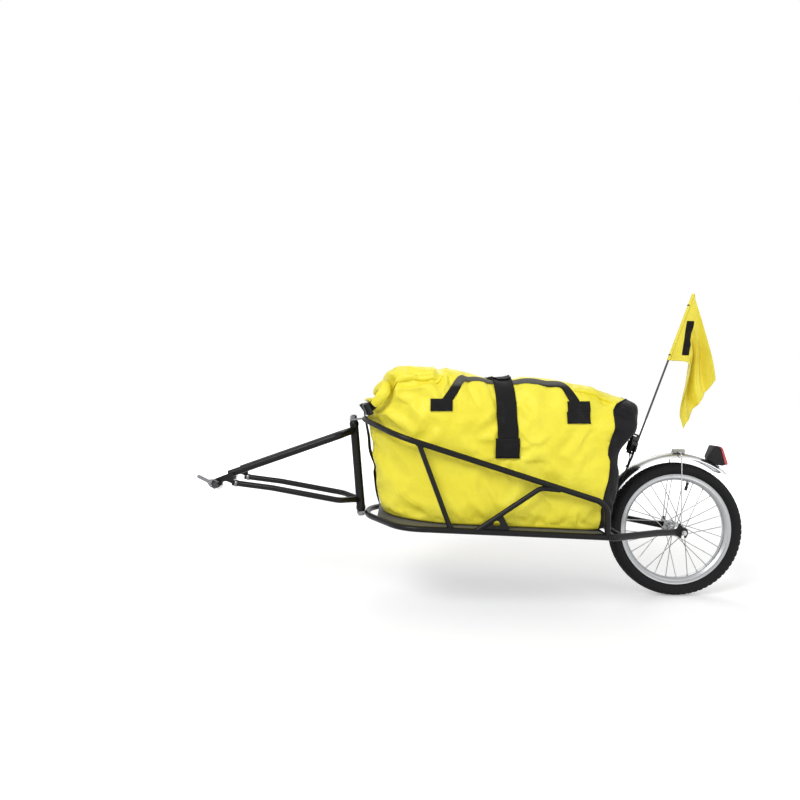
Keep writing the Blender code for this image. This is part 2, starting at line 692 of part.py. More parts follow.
def fork(body, latch_bodies):
    head = turned("head_tube", ring(HEAD_R, HEAD_BORE_R, HEAD_BOTTOM, HEAD_TOP), STEER_ORIGIN, STEER_AXIS, 24)
    clearance = rod_profile(HEAD_R + GAP, HEAD_BOTTOM - GAP, HEAD_TOP + GAP)
    head_cut = as_cutter(turned("head_clearance", clearance, STEER_ORIGIN, STEER_AXIS, 24))
    bend_x = STEER_X - ARM_BEND_AHEAD
    upper_end = on_steer(HEAD_TOP - UPPER_ARM_BELOW_TOP)
    lower_end = on_steer(HEAD_BOTTOM + LOWER_ARM_ABOVE_BOTTOM)
    for side, sign in SIDES:
        hook_and_latch(side, sign, body, latch_bodies[side])
        upper_y = HOOK_INNER_Y - GAP - UPPER_ARM_R
        lower_y = HOOK_INNER_Y - GAP - LOWER_ARM_R
        upper = rounded_path([
            ((UPPER_ARM_START[0], upper_y, UPPER_ARM_START[1]), 0),
            ((bend_x, upper_y, upper_end.z - UPPER_ARM_BEND_DROP), ARM_BEND_R),
            (upper_end, 0)])
        lower = rounded_path([
            ((LOWER_ARM_START[0], lower_y, LOWER_ARM_START[1]), 0),
            ((LOWER_ARM_KINK[0], lower_y, LOWER_ARM_KINK[1]), 4 * ARM_BEND_R),
            ((bend_x, lower_y, lower_end.z + LOWER_ARM_BEND_RISE), ARM_BEND_R),
            (lower_end, 0)])
        for label, path, radius in (("upper", upper, UPPER_ARM_R), ("lower", lower, LOWER_ARM_R)):
            arm = tube("fork_%s_arm_%s" % (label, side), mirrored(path, sign), radius)
            cut(arm, head_cut)
            finish(arm, "black_paint", body)
    finish(head, "black_paint", body)

    for label, end, outwards in (("upper", HEAD_TOP, 1), ("lower", -HEAD_BOTTOM, -1)):
        face = end + GAP
        bore = PIN_R + GAP
        profile = [(BUSH_FLANGE_R, face + BUSH_FLANGE_T), (BUSH_FLANGE_R, face),
                   (HEAD_BORE_R - GAP, face), (HEAD_BORE_R - GAP, face - BUSH_LENGTH),
                   (bore, face - BUSH_LENGTH), (bore, face + BUSH_FLANGE_T)]
        bush = turned("bush_" + label, profile, STEER_ORIGIN, STEER_AXIS * outwards, 24)
        finish(bush, "black_plastic", body)


def eye_outline(reach):
    """Round eye with a straight tongue that runs back by reach."""
    start = math.degrees(math.asin(TONGUE_HALF / EYE_R))
    return arc(0, 0, EYE_R, start, 360 - start, 16) + [(reach, -TONGUE_HALF), (reach, TONGUE_HALF)]


def steering(body, upper_cut, lower_cut):
    """Brackets on the frame, and the pin through them and the head tube."""
    back = Vector((math.cos(STEER_LEAN), 0, math.sin(STEER_LEAN)))
    flat = Matrix((back, ACROSS, STEER_AXIS)).transposed().to_4x4()
    bore = PIN_R + GAP
    eyes = (("upper_bracket", UPPER_BRACKET_AT, EYE_T, UPPER_NOSE, upper_cut),
            ("lower_bracket", LOWER_BRACKET_AT, LOWER_EYE_T, LOWER_NOSE, lower_cut))
    for name, height, thickness, nose, rails in eyes:
        centre = on_steer(height)
        eye = plate(name, eye_outline(nose.x - centre.x), thickness, Matrix.Translation(centre) @ flat,
                    [(0, 0, bore / math.cos(math.pi / HOLE_SIDES))])
        for rail in rails:
            cut(eye, rail)
        finish(eye, "grey_paint", body)

    head_top = LOWER_BRACKET_AT - LOWER_EYE_T / 2 - GAP
    nut_base = UPPER_BRACKET_AT + EYE_T / 2 + GAP
    nut_top = nut_base + NUT_HEX_T
    pin = turned("pivot_pin", rod_profile(PIN_R, head_top - PIN_HEAD_T / 2, nut_top + PIN_END),
                 STEER_ORIGIN, STEER_AXIS, 16)
    fuse(pin, turned("pin_head", rod_profile(NUT_HEX_R, head_top - PIN_HEAD_T, head_top),
                     STEER_ORIGIN, STEER_AXIS, 6))
    finish(pin, "zinc", body)
    nut = turned("pivot_nut", rod_profile(NUT_HEX_R, nut_base, nut_top), STEER_ORIGIN, STEER_AXIS, 6)
    hole = rod_profile(bore, nut_base - GAP, nut_top + GAP)
    cut(nut, turned("nut_bore", hole, STEER_ORIGIN, STEER_AXIS, 16))
    finish(nut, "zinc", body)


def cargo_frame(body):
    """Hoops, struts, gussets, floor and cross tube. Returns the cutters made from the two hoops."""
    upper_path = upper_rail_path()
    lower_path = lower_rail_path()
    strut_path = rear_strut_path()
    front_top = STEER_X + FRONT_STRUT_TOP_BACK
    front_foot = STEER_X + FRONT_STRUT_FOOT_BACK
    upper_cut = {}
    lower_cut = {}
    for side, sign in SIDES:
        upper_side = mirrored(upper_path, sign)
        lower_side = mirrored(lower_path, sign)
        upper_cut[side] = as_cutter(tube("upper_rail_cut_" + side, upper_side, UPPER_RAIL_R + GAP))
        lower_cut[side] = as_cutter(tube("lower_rail_cut_" + side, lower_side, LOWER_RAIL_R + GAP))
        upper = tube("upper_rail_" + side, upper_side, UPPER_RAIL_R)
        cut(upper, lower_cut[side])
        finish(upper, "black_paint", body)
        lower = tube("lower_rail_" + side, lower_side, LOWER_RAIL_R)
        finish(lower, "black_paint", body)

        front_path = [Vector((front_top, FRAME_HALF, upper_z(front_top))),
                      Vector((front_foot, FRAME_HALF, lower_z(front_foot)))]
        front = tube("front_strut_" + side, mirrored(front_path, sign), STRUT_R)
        cut(front, upper_cut[side])
        cut(front, lower_cut[side])
        finish(front, "black_paint", body)
        rear = tube("rear_strut_" + side, mirrored(strut_path, sign), STRUT_R)
        cut(rear, lower_cut[side])
        finish(rear, "black_paint", body)

        gusset = plate("gusset_" + side, gusset_outline(strut_path), GUSSET_T, side_view(sign * FRAME_HALF),
                       [gusset_hole()])
        cut(gusset, lower_cut[side])
        cut(gusset, tube("rear_strut_cut_" + side, mirrored(strut_path, sign), STRUT_R + GAP))
        finish(gusset, "black_paint", body)

    cross = tube("rear_cross_tube", cross_path(), CROSS_R)
    for side, _ in SIDES:
        cut(cross, lower_cut[side])
        cut(cross, upper_cut[side])
    finish(cross, "black_paint", body)
    tray_floor(body)
    return upper_cut, lower_cut


def gusset_outline(strut_path):
    """Plate in the corner between the rear strut and the lower rail, in X and Z."""
    foot, knee = strut_path[0], strut_path[1]
    front_x, rear_x, top_x = (foot.x + step for step in (GUSSET_FRONT_BACK, GUSSET_REAR_BACK,
                                                         GUSSET_TOP_BACK))
    along = (top_x - foot.x) / (knee.x - foot.x)
    return [(front_x, lower_z(front_x)), (rear_x, lower_z(rear_x)),
            (rear_x, lower_z(rear_x) + LOWER_RAIL_R + FLOOR_RISE),
            (top_x, foot.z + along * (knee.z - foot.z))]


def gusset_hole():
    x = STRUT_FOOT_X + GUSSET_HOLE_BACK
    return x, lower_z(x) + GUSSET_HOLE_RISE, GUSSET_HOLE_R


def cross_path():
    return [Vector((CROSS_X, sign * FRAME_HALF, lower_z(CROSS_X))) for _, sign in SIDES]


def tray_floor(body):
    """Sheet between the lower rails: the hoop's plan, drawn in and cut off at the front."""
    nose = Vector((LOWER_NOSE.x, NOSE_HALF, 0))
    shoulder = Vector((LOWER_NOSE.x + SHOULDER_X, FRAME_HALF, 0))
    slant = (shoulder - nose).normalized()
    inwards = Vector((slant.y, -slant.x, 0))
    start = nose + inwards * FLOOR_INSET
    front_x = LOWER_NOSE.x + FLOOR_FRONT_BACK
    front_y = start.y + slant.y * (front_x - start.x) / slant.x
    side_y = FRAME_HALF - FLOOR_INSET
    corner_x = start.x + slant.x * (side_y - start.y) / slant.y
    back_x = CROSS_X - CROSS_R + FLOOR_LAP
    edge = rounded_path([((front_x, front_y, 0), 0),
                         ((corner_x, side_y, 0), SHOULDER_BEND_R - FLOOR_INSET),
                         ((back_x, side_y, 0), 0)])
    slope = math.atan(LOWER_SLOPE)
    stretch = 1 / math.cos(slope)
    right = [((point.x - LOWER_NOSE.x) * stretch, point.y) for point in edge]
    left = [(x, -y) for x, y in reversed(right)]
    middle = LOWER_NOSE + UP * (FLOOR_RISE + FLOOR_T / 2)
    floor = plate("tray_floor", right + left, FLOOR_T,
                  Matrix.Translation(middle) @ Matrix.Rotation(slope, 4, 'Y'))
    cut(floor, tube("cross_clearance", cross_path(), CROSS_R + GAP))
    finish(floor, "dark_sheet", body)


def dropout_outline():
    """Hooked plate over the wheel's axle with a tab for the stay, in X and Z from the axle."""
    slot = AXLE_R + WHEEL_GAP
    tab_x, tab_z = EYELET
    points = [(-DROPOUT_FRONT, DROPOUT_FRONT_LOW), DROPOUT_CHIN, (-slot - SLOT_HORN, -SLOT_DEPTH),
              (-slot, -SLOT_DEPTH)]
    points += arc(0, 0, slot, 180, 0, 8)
    points += [(slot, -SLOT_DEPTH), (slot + SLOT_HORN, -SLOT_DEPTH)]
    points += arc(0, 0, DROPOUT_R, -25, 50, 5)
    points += [(tab_x + EYELET_R, DROPOUT_R)]
    points += arc(tab_x, tab_z, EYELET_R, 0, 180, 6)
    points += [DROPOUT_BROW, (-DROPOUT_FRONT, DROPOUT_FRONT_HIGH)]
    return points


def rear_end(body):
    """Rear arms, dropouts, bridge with its tab, and the wheel's fixed axle."""
    path = rear_arm_path()
    arm_cut = {}
    nut_low = DROPOUT_Y + DROPOUT_T + GAP
    for side, sign in SIDES:
        arm_cut[side] = as_cutter(tube("rear_arm_cut_" + side, mirrored(path, sign), ARM_R + GAP))
        arm = tube("rear_arm_" + side, mirrored(path, sign), ARM_R)
        slot_y = sorted((sign * (DROPOUT_Y - GAP), sign * (DROPOUT_Y + DROPOUT_T + GAP)))
        slot_front = WHEEL_X - DROPOUT_FRONT - GAP
        cut(arm, box("arm_slot_" + side, (slot_front, slot_y[0], WHEEL_Z - 2 * ARM_R),
                     (WHEEL_X, slot_y[1], WHEEL_Z + 2 * ARM_R)))
        finish(arm, "black_paint", body)
        place = side_view(sign * (DROPOUT_Y + DROPOUT_T / 2))
        place.translation += WHEEL_CENTRE
        dropout = plate("dropout_" + side, dropout_outline(), DROPOUT_T, place, [(*EYELET, STAY_R + GAP)])
        finish(dropout, "black_paint", body)
        bore = (AXLE_R + GAP) / math.cos(math.pi / 6)
        nut = turned("axle_nut_" + side, ring(AXLE_NUT_R, bore, nut_low, nut_low + AXLE_NUT_T), WHEEL_CENTRE,
                     ACROSS * sign, 6)
        finish(nut, "zinc", body)
    bridge_end, _ = where(path, lambda point: (point - WHEEL_CENTRE).dot(BOLT_OUT) - TAB_AT + BRIDGE_BEHIND)
    bridge = tube("fender_bridge", mirrored([bridge_end], -1) + [bridge_end], BRIDGE_R)
    cut(bridge, arm_cut["left"])
    cut(bridge, arm_cut["right"])
    tab_place = Matrix((TAB_UP, ACROSS, BOLT_OUT)).transposed().to_4x4()
    tab_place.translation = WHEEL_CENTRE + BOLT_OUT * TAB_AT
    corner = TAB_HALF / 2
    foot = (bridge_end - WHEEL_CENTRE).dot(TAB_UP) - TAB_PAST
    outline = [(foot, TAB_HALF), (foot, -TAB_HALF), (TAB_ABOVE - corner, -TAB_HALF),
               (TAB_ABOVE, -corner), (TAB_ABOVE, corner), (TAB_ABOVE - corner, TAB_HALF)]
    tab = plate("bridge_tab", outline, TAB_T, tab_place, [(0, 0, BOLT_R + GAP)])
    fuse(bridge, tab)
    finish(bridge, "black_paint", body)

    cone_out = DROPOUT_Y - GAP
    cone_in = cone_out - CONE_T
    end = nut_low + AXLE_NUT_T + AXLE_STICKOUT
    axle = turned("wheel_axle", [(0, end), (AXLE_R, end), (AXLE_R, cone_out), (CONE_R, cone_out),
                                 (CONE_R, cone_in), (AXLE_R, cone_in), (AXLE_R, -cone_in), (CONE_R, -cone_in),
                                 (CONE_R, -cone_out), (AXLE_R, -cone_out), (AXLE_R, -end), (0, -end)],
                  WHEEL_CENTRE, ACROSS, 16)
    finish(axle, "steel", body)


def spoke_ends(number):
    """Hub and rim ends of one laced spoke, from the wheel's centre."""
    flange = 1 if number % 2 else -1
    lean = 1 if number % 4 < 2 else -1
    step = math.tau / SPOKES
    at_rim = VALVE_ANGLE + step * (number + 0.5)
    at_hub = at_rim + lean * SPOKE_CROSSING
    hub = Vector((SPOKE_CIRCLE_R * math.cos(at_hub), flange * HUB_FLANGE_Y + lean * SPOKE_STAGGER * flange,
                  SPOKE_CIRCLE_R * math.sin(at_hub)))
    reach = RIM_INNER_R - 2 * GAP
    rim = Vector((reach * math.cos(at_rim), flange * HUB_FLANGE_T / 2, reach * math.sin(at_rim)))
    return hub, rim


def wheel(body):
    half = DROPOUT_Y - 2 * GAP - CONE_T - GAP
    bore = AXLE_R + WHEEL_GAP
    outer = [(HUB_BARREL_R, half), (HUB_BARREL_R, HUB_FLANGE_Y + HUB_FLANGE_T),
             (HUB_FLANGE_R, HUB_FLANGE_Y + HUB_FLANGE_T / 2), (HUB_FLANGE_R, HUB_FLANGE_Y - HUB_FLANGE_T / 2),
             (HUB_BARREL_R, HUB_FLANGE_Y - HUB_FLANGE_T)]
    profile = outer + [(radius, -height) for radius, height in reversed(outer)]
    profile += [(bore, -half), (bore, half)]
    hub = turned("hub", profile, WHEEL_CENTRE, ACROSS, 20)
    shape = bmesh.new()
    for number in range(SPOKES):
        start, end = spoke_ends(number)
        run = end - start
        place = Matrix.Translation((start + end) / 2) @ UP.rotation_difference(run).to_matrix().to_4x4()
        bmesh.ops.create_cone(shape, cap_ends=True, segments=6, radius1=SPOKE_R, radius2=SPOKE_R,
                              depth=run.length, matrix=place)
    mesh = bpy.data.meshes.new("spokes")
    shape.to_mesh(mesh)
    shape.free()
    spokes = new_object("spokes", mesh)
    spokes.location = WHEEL_CENTRE
    fuse(hub, spokes)
    finish(hub, "aluminium", body)

    wall_end = RIM_R - RIM_WALL
    rim_profile = [(RIM_R, RIM_HALF), (RIM_R, -RIM_HALF), (wall_end, -RIM_HALF),
                   (RIM_INNER_R, -RIM_HALF / 2), (RIM_INNER_R, RIM_HALF / 2), (wall_end, RIM_HALF)]
    rim = turned("rim", rim_profile, WHEEL_CENTRE, ACROSS, 48)
    out = Vector((math.cos(VALVE_ANGLE), 0, math.sin(VALVE_ANGLE)))
    hole = rod_profile(VALVE_R + GAP, RIM_INNER_R - VALVE_LENGTH, TYRE_R)
    cut(rim, turned("valve_hole", hole, WHEEL_CENTRE, out, 12))
    finish(rim, "aluminium", body)

    seat = RIM_R + GAP
    height = (TYRE_R - seat) / 2
    middle = seat + height
    tyre_profile = []
    for angle in range(-130, 131, 20):
        turn = math.radians(angle)
        tyre_profile.append((middle + height * math.cos(turn), -TYRE_HALF * math.sin(turn)))
    lip = RIM_HALF - 2 * GAP
    tyre_profile += [(seat, -lip), (seat, lip)]
    tyre = turned("tyre", tyre_profile, WHEEL_CENTRE, ACROSS, 48)
    fuse(tyre, turned("valve_stem", rod_profile(VALVE_R, RIM_INNER_R - VALVE_LENGTH, middle), WHEEL_CENTRE,
                      out, 12))
    finish(tyre, "rubber", body)


def on_crown(angle):
    """Point on the fender's crown, at this angle above the level line behind the axle."""
    return WHEEL_CENTRE + Vector((math.cos(angle), 0, math.sin(angle))) * FENDER_R


def fender_parts(body):
    mesh = bpy.data.meshes.new("fender")
    steps = 6
    profile = []
    for step in range(steps + 1):
        y = FENDER_HALF * (1 - 2 * step / steps)
        profile.append((FENDER_R - FENDER_DROP * (y / FENDER_HALF) ** 2, 0, y))
    mesh.from_pydata(profile, [(i, i + 1) for i in range(steps)], [])
    fender = new_object("fender", mesh)
    spin = fender.modifiers.new("sweep", 'SCREW')
    spin.angle = FENDER_TO - FENDER_FROM
    spin.steps = 20
    spin.render_steps = 20
    wall = fender.modifiers.new("wall", 'SOLIDIFY')
    wall.thickness = FENDER_T
    wall.offset = -1
    # The sweep starts at the rear end and climbs towards the front, as seen from the left
    start = Vector((math.cos(FENDER_FROM), 0, math.sin(FENDER_FROM)))
    side = -ACROSS
    fender.matrix_world = Matrix.Translation(WHEEL_CENTRE) @ Matrix(
        (start, side.cross(start), side)).transposed().to_4x4()
    hole = rod_profile(BOLT_R + GAP, FENDER_R - FENDER_DROP, FENDER_R + FENDER_DROP)
    cut(fender, turned("bolt_hole", hole, WHEEL_CENTRE, BOLT_OUT, 12))
    finish(fender, "chrome", body)

    high = FENDER_R + 2 * GAP + TAB_T
    low = FENDER_R - FENDER_T - BOLT_END_GAP
    top = high + BOLT_HEAD_T
    end = low - BOLT_HEAD_T
    profile = [(0, top), (BOLT_HEAD_R, top), (BOLT_HEAD_R, high), (BOLT_R, high),
               (BOLT_R, low), (BOLT_HEAD_R, low), (BOLT_HEAD_R, end), (0, end)]
    finish(turned("fender_bolt", profile, WHEEL_CENTRE, BOLT_OUT, 12), "zinc", body)

    stay_points = stay_path()
    stay = tube("fender_stay", stay_points, STAY_R, 8)
    finish(stay, "chrome", body)
    crown = as_cutter(turned("crown_clearance", rod_profile(FENDER_R + GAP, -2 * LIGHT_HALF, 2 * LIGHT_HALF),
                             WHEEL_CENTRE, ACROSS, 128))
    middle = on_crown(CLIP_ANGLE)
    reach = Vector((CLIP_LENGTH / 2, CLIP_HALF, CLIP_HEIGHT))
    clip = box("fender_clip", middle - reach, middle + reach)
    cut(clip, crown)
    cut(clip, tube("stay_clearance", stay_points, STAY_R + GAP, 8))
    finish(clip, "black_plastic", body)

    seat = on_crown(LIGHT_ANGLE)
    side = [Vector((seat.x + x, seat.z + z)) for x, z in LIGHT_OUTLINE]
    housing = plate("light_housing", side, 2 * LIGHT_HALF, side_view(0))
    cut(housing, crown)
    finish(housing, "black_plastic", body)
    top, bottom = side[3:5]
    away = Vector((top.y - bottom.y, bottom.x - top.x)).normalized()
    margin = (bottom - top).normalized() * LENS_MARGIN
    near = [top + margin + away * GAP, bottom - margin + away * GAP]
    outline = [near[0], near[1], near[1] + away * LENS_FOOT_T, near[0] + margin + away * LENS_T]
    lens = plate("light_lens", [tuple(point) for point in outline], 2 * LENS_HALF, side_view(0))
    finish(lens, "red_lens", body)


def stay_path():
    """Wire from one dropout's eyelet over the crown to the other's."""
    eyelet_x = WHEEL_X + EYELET[0]
    eyelet_z = WHEEL_Z + EYELET[1]
    over = on_crown(STAY_ANGLE) + UP * STAY_RISE
    foot_bend = 2 * STAY_R
    outside = DROPOUT_Y + DROPOUT_T + GAP + foot_bend
    corners = [((eyelet_x, DROPOUT_Y - 2 * GAP, eyelet_z), 0), ((eyelet_x, outside, eyelet_z), foot_bend),
               ((over.x, STAY_HALF, over.z), STAY_BEND_R)]
    other = [((x, -y, z), radius) for (x, y, z), radius in reversed(corners)]
    return rounded_path(corners + other, math.radians(22.5))


def pole_base():
    """Point of the pole's axis beside the right rear arm, where the holder is welded on."""
    on_arm, direction = where(rear_arm_path(), lambda point: point.x - WHEEL_X + POLE_AHEAD)
    return on_arm + POLE_AXIS.cross(direction).normalized() * (ARM_R + HOLDER_R + GAP)


def along_edge(points, share):
    """Point at this share of an edge drawn through a few points."""
    spot = share * (len(points) - 1)
    index = min(int(spot), len(points) - 2)
    before, after = Vector(points[index]), Vector(points[index + 1])
    return before.lerp(after, spot - index)


def flag_parts(body, frame_body):
    base = pole_base()
    bore = POLE_R + GAP
    floor = -HOLDER_BELOW + HOLDER_FLOOR
    profile = [(0, floor), (bore, floor), (bore, HOLDER_ABOVE), (HOLDER_R, HOLDER_ABOVE),
               (HOLDER_R, -HOLDER_BELOW), (0, -HOLDER_BELOW)]
    finish(turned("flag_holder", profile, base, POLE_AXIS, 16), "black_paint", frame_body)
    pole_top = floor + GAP + POLE_LENGTH
    pole = turned("flag_pole", rod_profile(POLE_R, floor + GAP, pole_top), base, POLE_AXIS, 12)
    finish(pole, "pole", body)

    top = base + POLE_AXIS * pole_top
    sleeve = turned("flag", ring(SLEEVE_R, POLE_R + GAP, -HOIST, 0), top, POLE_AXIS, 12)
    across, down = 12, 10
    mesh = bpy.data.meshes.new("flag_cloth")
    points = []
    hoist_shift = (SLEEVE_R + POLE_R + GAP) / 2
    for column in range(across + 1):
        u = column / across
        upper = along_edge(FLAG_TOP_EDGE, u)
        lower = along_edge(FLAG_BOTTOM_EDGE, u)
        for row in range(down + 1):
            v = row / down
            flat = upper.lerp(lower, v)
            on_pole = max(0.0, 1 - u * across)
            spread = math.sin(math.pi / 2 * min(1.0, u / FLAG_FULL_AT)) ** 2
            depth = FLAG_DEPTH * math.sin(math.pi * v) * spread
            points.append((top.x + flat.x + on_pole * hoist_shift, top.y + depth, top.z + flat.y))
    faces = []
    for column in range(across):
        for row in range(down):
            corner = column * (down + 1) + row
            faces.append((corner, corner + 1, corner + down + 2, corner + down + 1))
    mesh.from_pydata(points, [], faces)
    cloth = new_object("flag_cloth", mesh)
    wall = cloth.modifiers.new("cloth", 'SOLIDIFY')
    wall.thickness = FLAG_T
    wall.offset = 0
    fuse(sleeve, cloth)
    finish(sleeve, "yellow_cloth", body)


def bag_top_z(x):
    """Height of the bag's top line over this X."""
    back = x - STEER_X
    for (x0, z0), (x1, z1) in zip(BAG_TOP, BAG_TOP[1:]):
        if back <= x1:
            return z0 + (z1 - z0) * max(0.0, back - x0) / (x1 - x0)
    return BAG_TOP[-1][1]


def bag_floor_z(x):
    return lower_z(x) + FLOOR_RISE + FLOOR_T + GAP


def bag_plan(front, rear, half):
    """Closed plan of one section: rounded front, straight sides and a tighter rounded rear."""
    right = []
    for step in range(7):
        turn = math.pi / 2 * step / 6
        right.append((front + BAG_ROUNDING * (1 - math.cos(turn)), half * math.sin(turn)))
    start = front + BAG_ROUNDING
    end = rear - BAG_REAR_ROUNDING
    right += [(start + (end - start) * step / 5, half) for step in range(1, 6)]
    for step in range(1, 5):
        turn = math.pi / 2 * step / 4
        right.append((end + BAG_REAR_ROUNDING * math.sin(turn), half * math.cos(turn)))
    return right + [(x, -y) for x, y in reversed(right[1:-1])]


def bag_form(name, swell=0.0):
    """Loft of the bag through its sections, swollen outwards by this much."""
    shape = bmesh.new()
    rings = []
    for share, front, rear, wide in BAG_SECTIONS:
        loop = []
        for x, y in bag_plan(STEER_X + front, UPRIGHT_X + rear, wide * BAG_HALF):
            bottom = bag_floor_z(x)
            loop.append(shape.verts.new((x, y, bottom + share * (bag_top_z(x) - bottom))))
        rings.append(loop)
    count = len(rings[0])
    for lower, upper in zip(rings, rings[1:]):
        for index in range(count):
            following = (index + 1) % count
            shape.faces.new((lower[index], lower[following], upper[following], upper[index]))
    for loop in (rings[0], rings[-1]):
        centre = sum((vert.co for vert in loop), Vector()) / count
        hub = shape.verts.new(centre)
        for index in range(count):
            shape.faces.new((loop[index], loop[(index + 1) % count], hub))
    bmesh.ops.remove_doubles(shape, verts=shape.verts, dist=1e-6)
    bmesh.ops.recalc_face_normals(shape, faces=shape.faces)
    bmesh.ops.triangulate(shape, faces=shape.faces, quad_method='FIXED')
    shape.normal_update()
    outwards = [(vert, vert.normal * vert.calc_shell_factor()) for vert in shape.verts]
    for vert, normal in outwards:
        vert.co += normal * swell
    mesh = bpy.data.meshes.new(name)
    shape.to_mesh(mesh)
    shape.free()
    smooth(mesh)
    return new_object(name, mesh)


def web_on_bag(name, outline, low_y, high_y, inner, outer):
    """Webbing that lies on the bag: this outline, in X and Z, of a skin round the bag."""
    web = plate(name, outline, high_y - low_y, side_view((low_y + high_y) / 2))
    keep_common(web, outer)
    cut(web, inner)
    return web


def bag(body):
    inner = as_cutter(bag_form("bag_clearance", GAP))
    outer = as_cutter(bag_form("bag_web_face", GAP + WEB_T))
    roll_axis = Vector((ROLL_X, 0, ROLL_Z))
    bevel = ROLL_R / 3
    roll_profile = [(0, ROLL_HALF), (ROLL_R - bevel, ROLL_HALF), (ROLL_R, ROLL_HALF - bevel),
                    (ROLL_R, -ROLL_HALF + bevel), (ROLL_R - bevel, -ROLL_HALF), (0, -ROLL_HALF)]
    roll = turned("roll_closure", roll_profile, roll_axis, ACROSS, 20)
    finish(roll, "yellow_coated", body)
    clearance = rod_profile(ROLL_R + GAP, -ROLL_HALF - GAP, ROLL_HALF + GAP)
    roll_cut = as_cutter(turned("roll_clearance", clearance, roll_axis, ACROSS, 20))
    buckle = box("bag_buckle", (ROLL_X - BUCKLE_REACH, -BUCKLE_HALF, BUCKLE_Z[0]),
                 (ROLL_X, BUCKLE_HALF, BUCKLE_Z[1]))
    cut(buckle, roll_cut)
    cut(buckle, inner)
    finish(buckle, "black_plastic", body)

    (x0, z0), (x1, z1) = BAG_SEAM
    slope = (x1 - x0) / (z1 - z0)
    low_z, high_z = z0 - FRAME_HALF, z1 + FRAME_HALF     # the trimming plates reach past the bag
    far = 2 * UPRIGHT_X
    width = 3 * FRAME_HALF

    def seam_x(z):
        return UPRIGHT_X + x0 + slope * (z - z0)

    for name, colour, shift, end in (("bag_body", "yellow_coated", -GAP / 2, far),
                                     ("bag_end_panel", "black_coated", GAP / 2, -far)):
        half = bag_form(name)
        away = plate(name + "_trim", [(seam_x(low_z) + shift, low_z), (end, low_z), (end, high_z),
                                      (seam_x(high_z) + shift, high_z)], width, side_view(0))
        cut(half, away)
        if name == "bag_body":
            cut(half, roll_cut)
        finish(half, colour, body)

    high = BAG_TOP[3][1] + 3 * WEB_T
    front_x, rear_x = (STEER_X + back for back in STRAP_BACK)
    strap_outline = [(front_x, STRAP_LOW_Z), (rear_x, STRAP_LOW_Z), (rear_x, high), (front_x, high)]
    over_handles = as_cutter(bag_form("bag_strap_face", 2 * (GAP + WEB_T)))
    strap = web_on_bag("bag_strap", strap_outline, -width / 2, width / 2, inner, over_handles)
    tunnel = as_cutter(bag_form("bag_tunnel_face", 2 * GAP + WEB_T))
    for side, sign in SIDES:
        low_y, high_y = sorted((sign * HANDLE_INNER_Y, sign * width / 2))
        handle = web_on_bag("bag_handle_" + side, handle_outline(), low_y, high_y, inner, outer)
        finish(handle, "webbing", body)
        low_y, high_y = sorted((sign * (HANDLE_INNER_Y - GAP), sign * width / 2))
        channel = plate("handle_channel_" + side, handle_outline(GAP), high_y - low_y,
                        side_view((low_y + high_y) / 2))
        keep_common(channel, tunnel)
        cut(strap, channel)
    finish(strap, "webbing", body)


def handle_outline(margin=0.0):
    """Two patches and the webbing that rises from each and runs along the bag's shoulder."""
    patch_x0, patch_x1 = (STEER_X + back for back in HANDLE_PATCH_BACK)
    patch_z0, patch_z1 = HANDLE_PATCH_Z
    wide, tall = HANDLE_PATCH_SIZE
    top_x0, top_x1 = (STEER_X + back for back in HANDLE_TOP_BACK)
    top_z0, top_z1 = (bag_top_z(x) - HANDLE_TOP_DROP + margin for x in (top_x0, top_x1))
    under = HANDLE_WEB + 2 * margin
    half = HANDLE_WEB / 2
    return [(patch_x0 - wide / 2, patch_z0 + tall / 2), (patch_x0 - wide / 2, patch_z0 - tall / 2),
            (patch_x0 + wide / 2, patch_z0 - tall / 2), (patch_x0 + wide / 2, patch_z0 + tall / 2),
            (top_x0 + half, top_z0 - under), (top_x1 - half, top_z1 - under),
            (patch_x1 - wide / 2, patch_z1 + tall / 2), (patch_x1 - wide / 2, patch_z1 - tall / 2),
            (patch_x1 + wide / 2, patch_z1 - tall / 2), (patch_x1 + wide / 2, patch_z1 + tall / 2),
            (top_x1 + half, top_z1), (top_x0 - half, top_z0)]


clear_scene()
PARTS = new_collection(NAME)
CUTTERS = new_collection(NAME + "_cutters")


def main():
    skewer = pivot("skewer_pivot", Vector())
    lever = pivot("lever_pivot", Vector((0, LEVER_Y, 0)), skewer)
    fork_body = pivot("fork_pivot", Vector(), skewer)
    frame = pivot("steer_pivot", STEER_ORIGIN, fork_body)
    wheel_body = pivot("wheel_pivot", WHEEL_CENTRE, frame)
    flag_body = pivot("flag_pivot", pole_base(), frame)
    bag_body = pivot("bag_pivot", Vector((UPRIGHT_X, 0, 0)), frame)
    latch_bodies = {}
    for side, sign in SIDES:
        place = Vector((LATCH_PIN[0], sign * HOOK_INNER_Y, LATCH_PIN[1]))
        latch_bodies[side] = pivot("latch_pivot_" + side, place, fork_body)
    hitch(skewer, lever)
    fork(fork_body, latch_bodies)
    upper_cut, lower_cut = cargo_frame(frame)
    steering(frame, upper_cut.values(), lower_cut.values())
    rear_end(frame)
    fender_parts(frame)
    wheel(wheel_body)
    flag_parts(flag_body, frame)
    bag(bag_body)


main()
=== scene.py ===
"""Looks of a single-wheel cargo trailer with its packed dry bag, chrome fender, tail light and flag.

Metres, in the frame of the solids: X runs rearwards, Y to the trailer's right and Z up, and the
origin is on the hitch's skewer.
"""
import math

import bmesh
import bpy
from mathutils import Matrix, Vector, noise
from mathutils.bvhtree import BVHTree
from mathutils.kdtree import KDTree


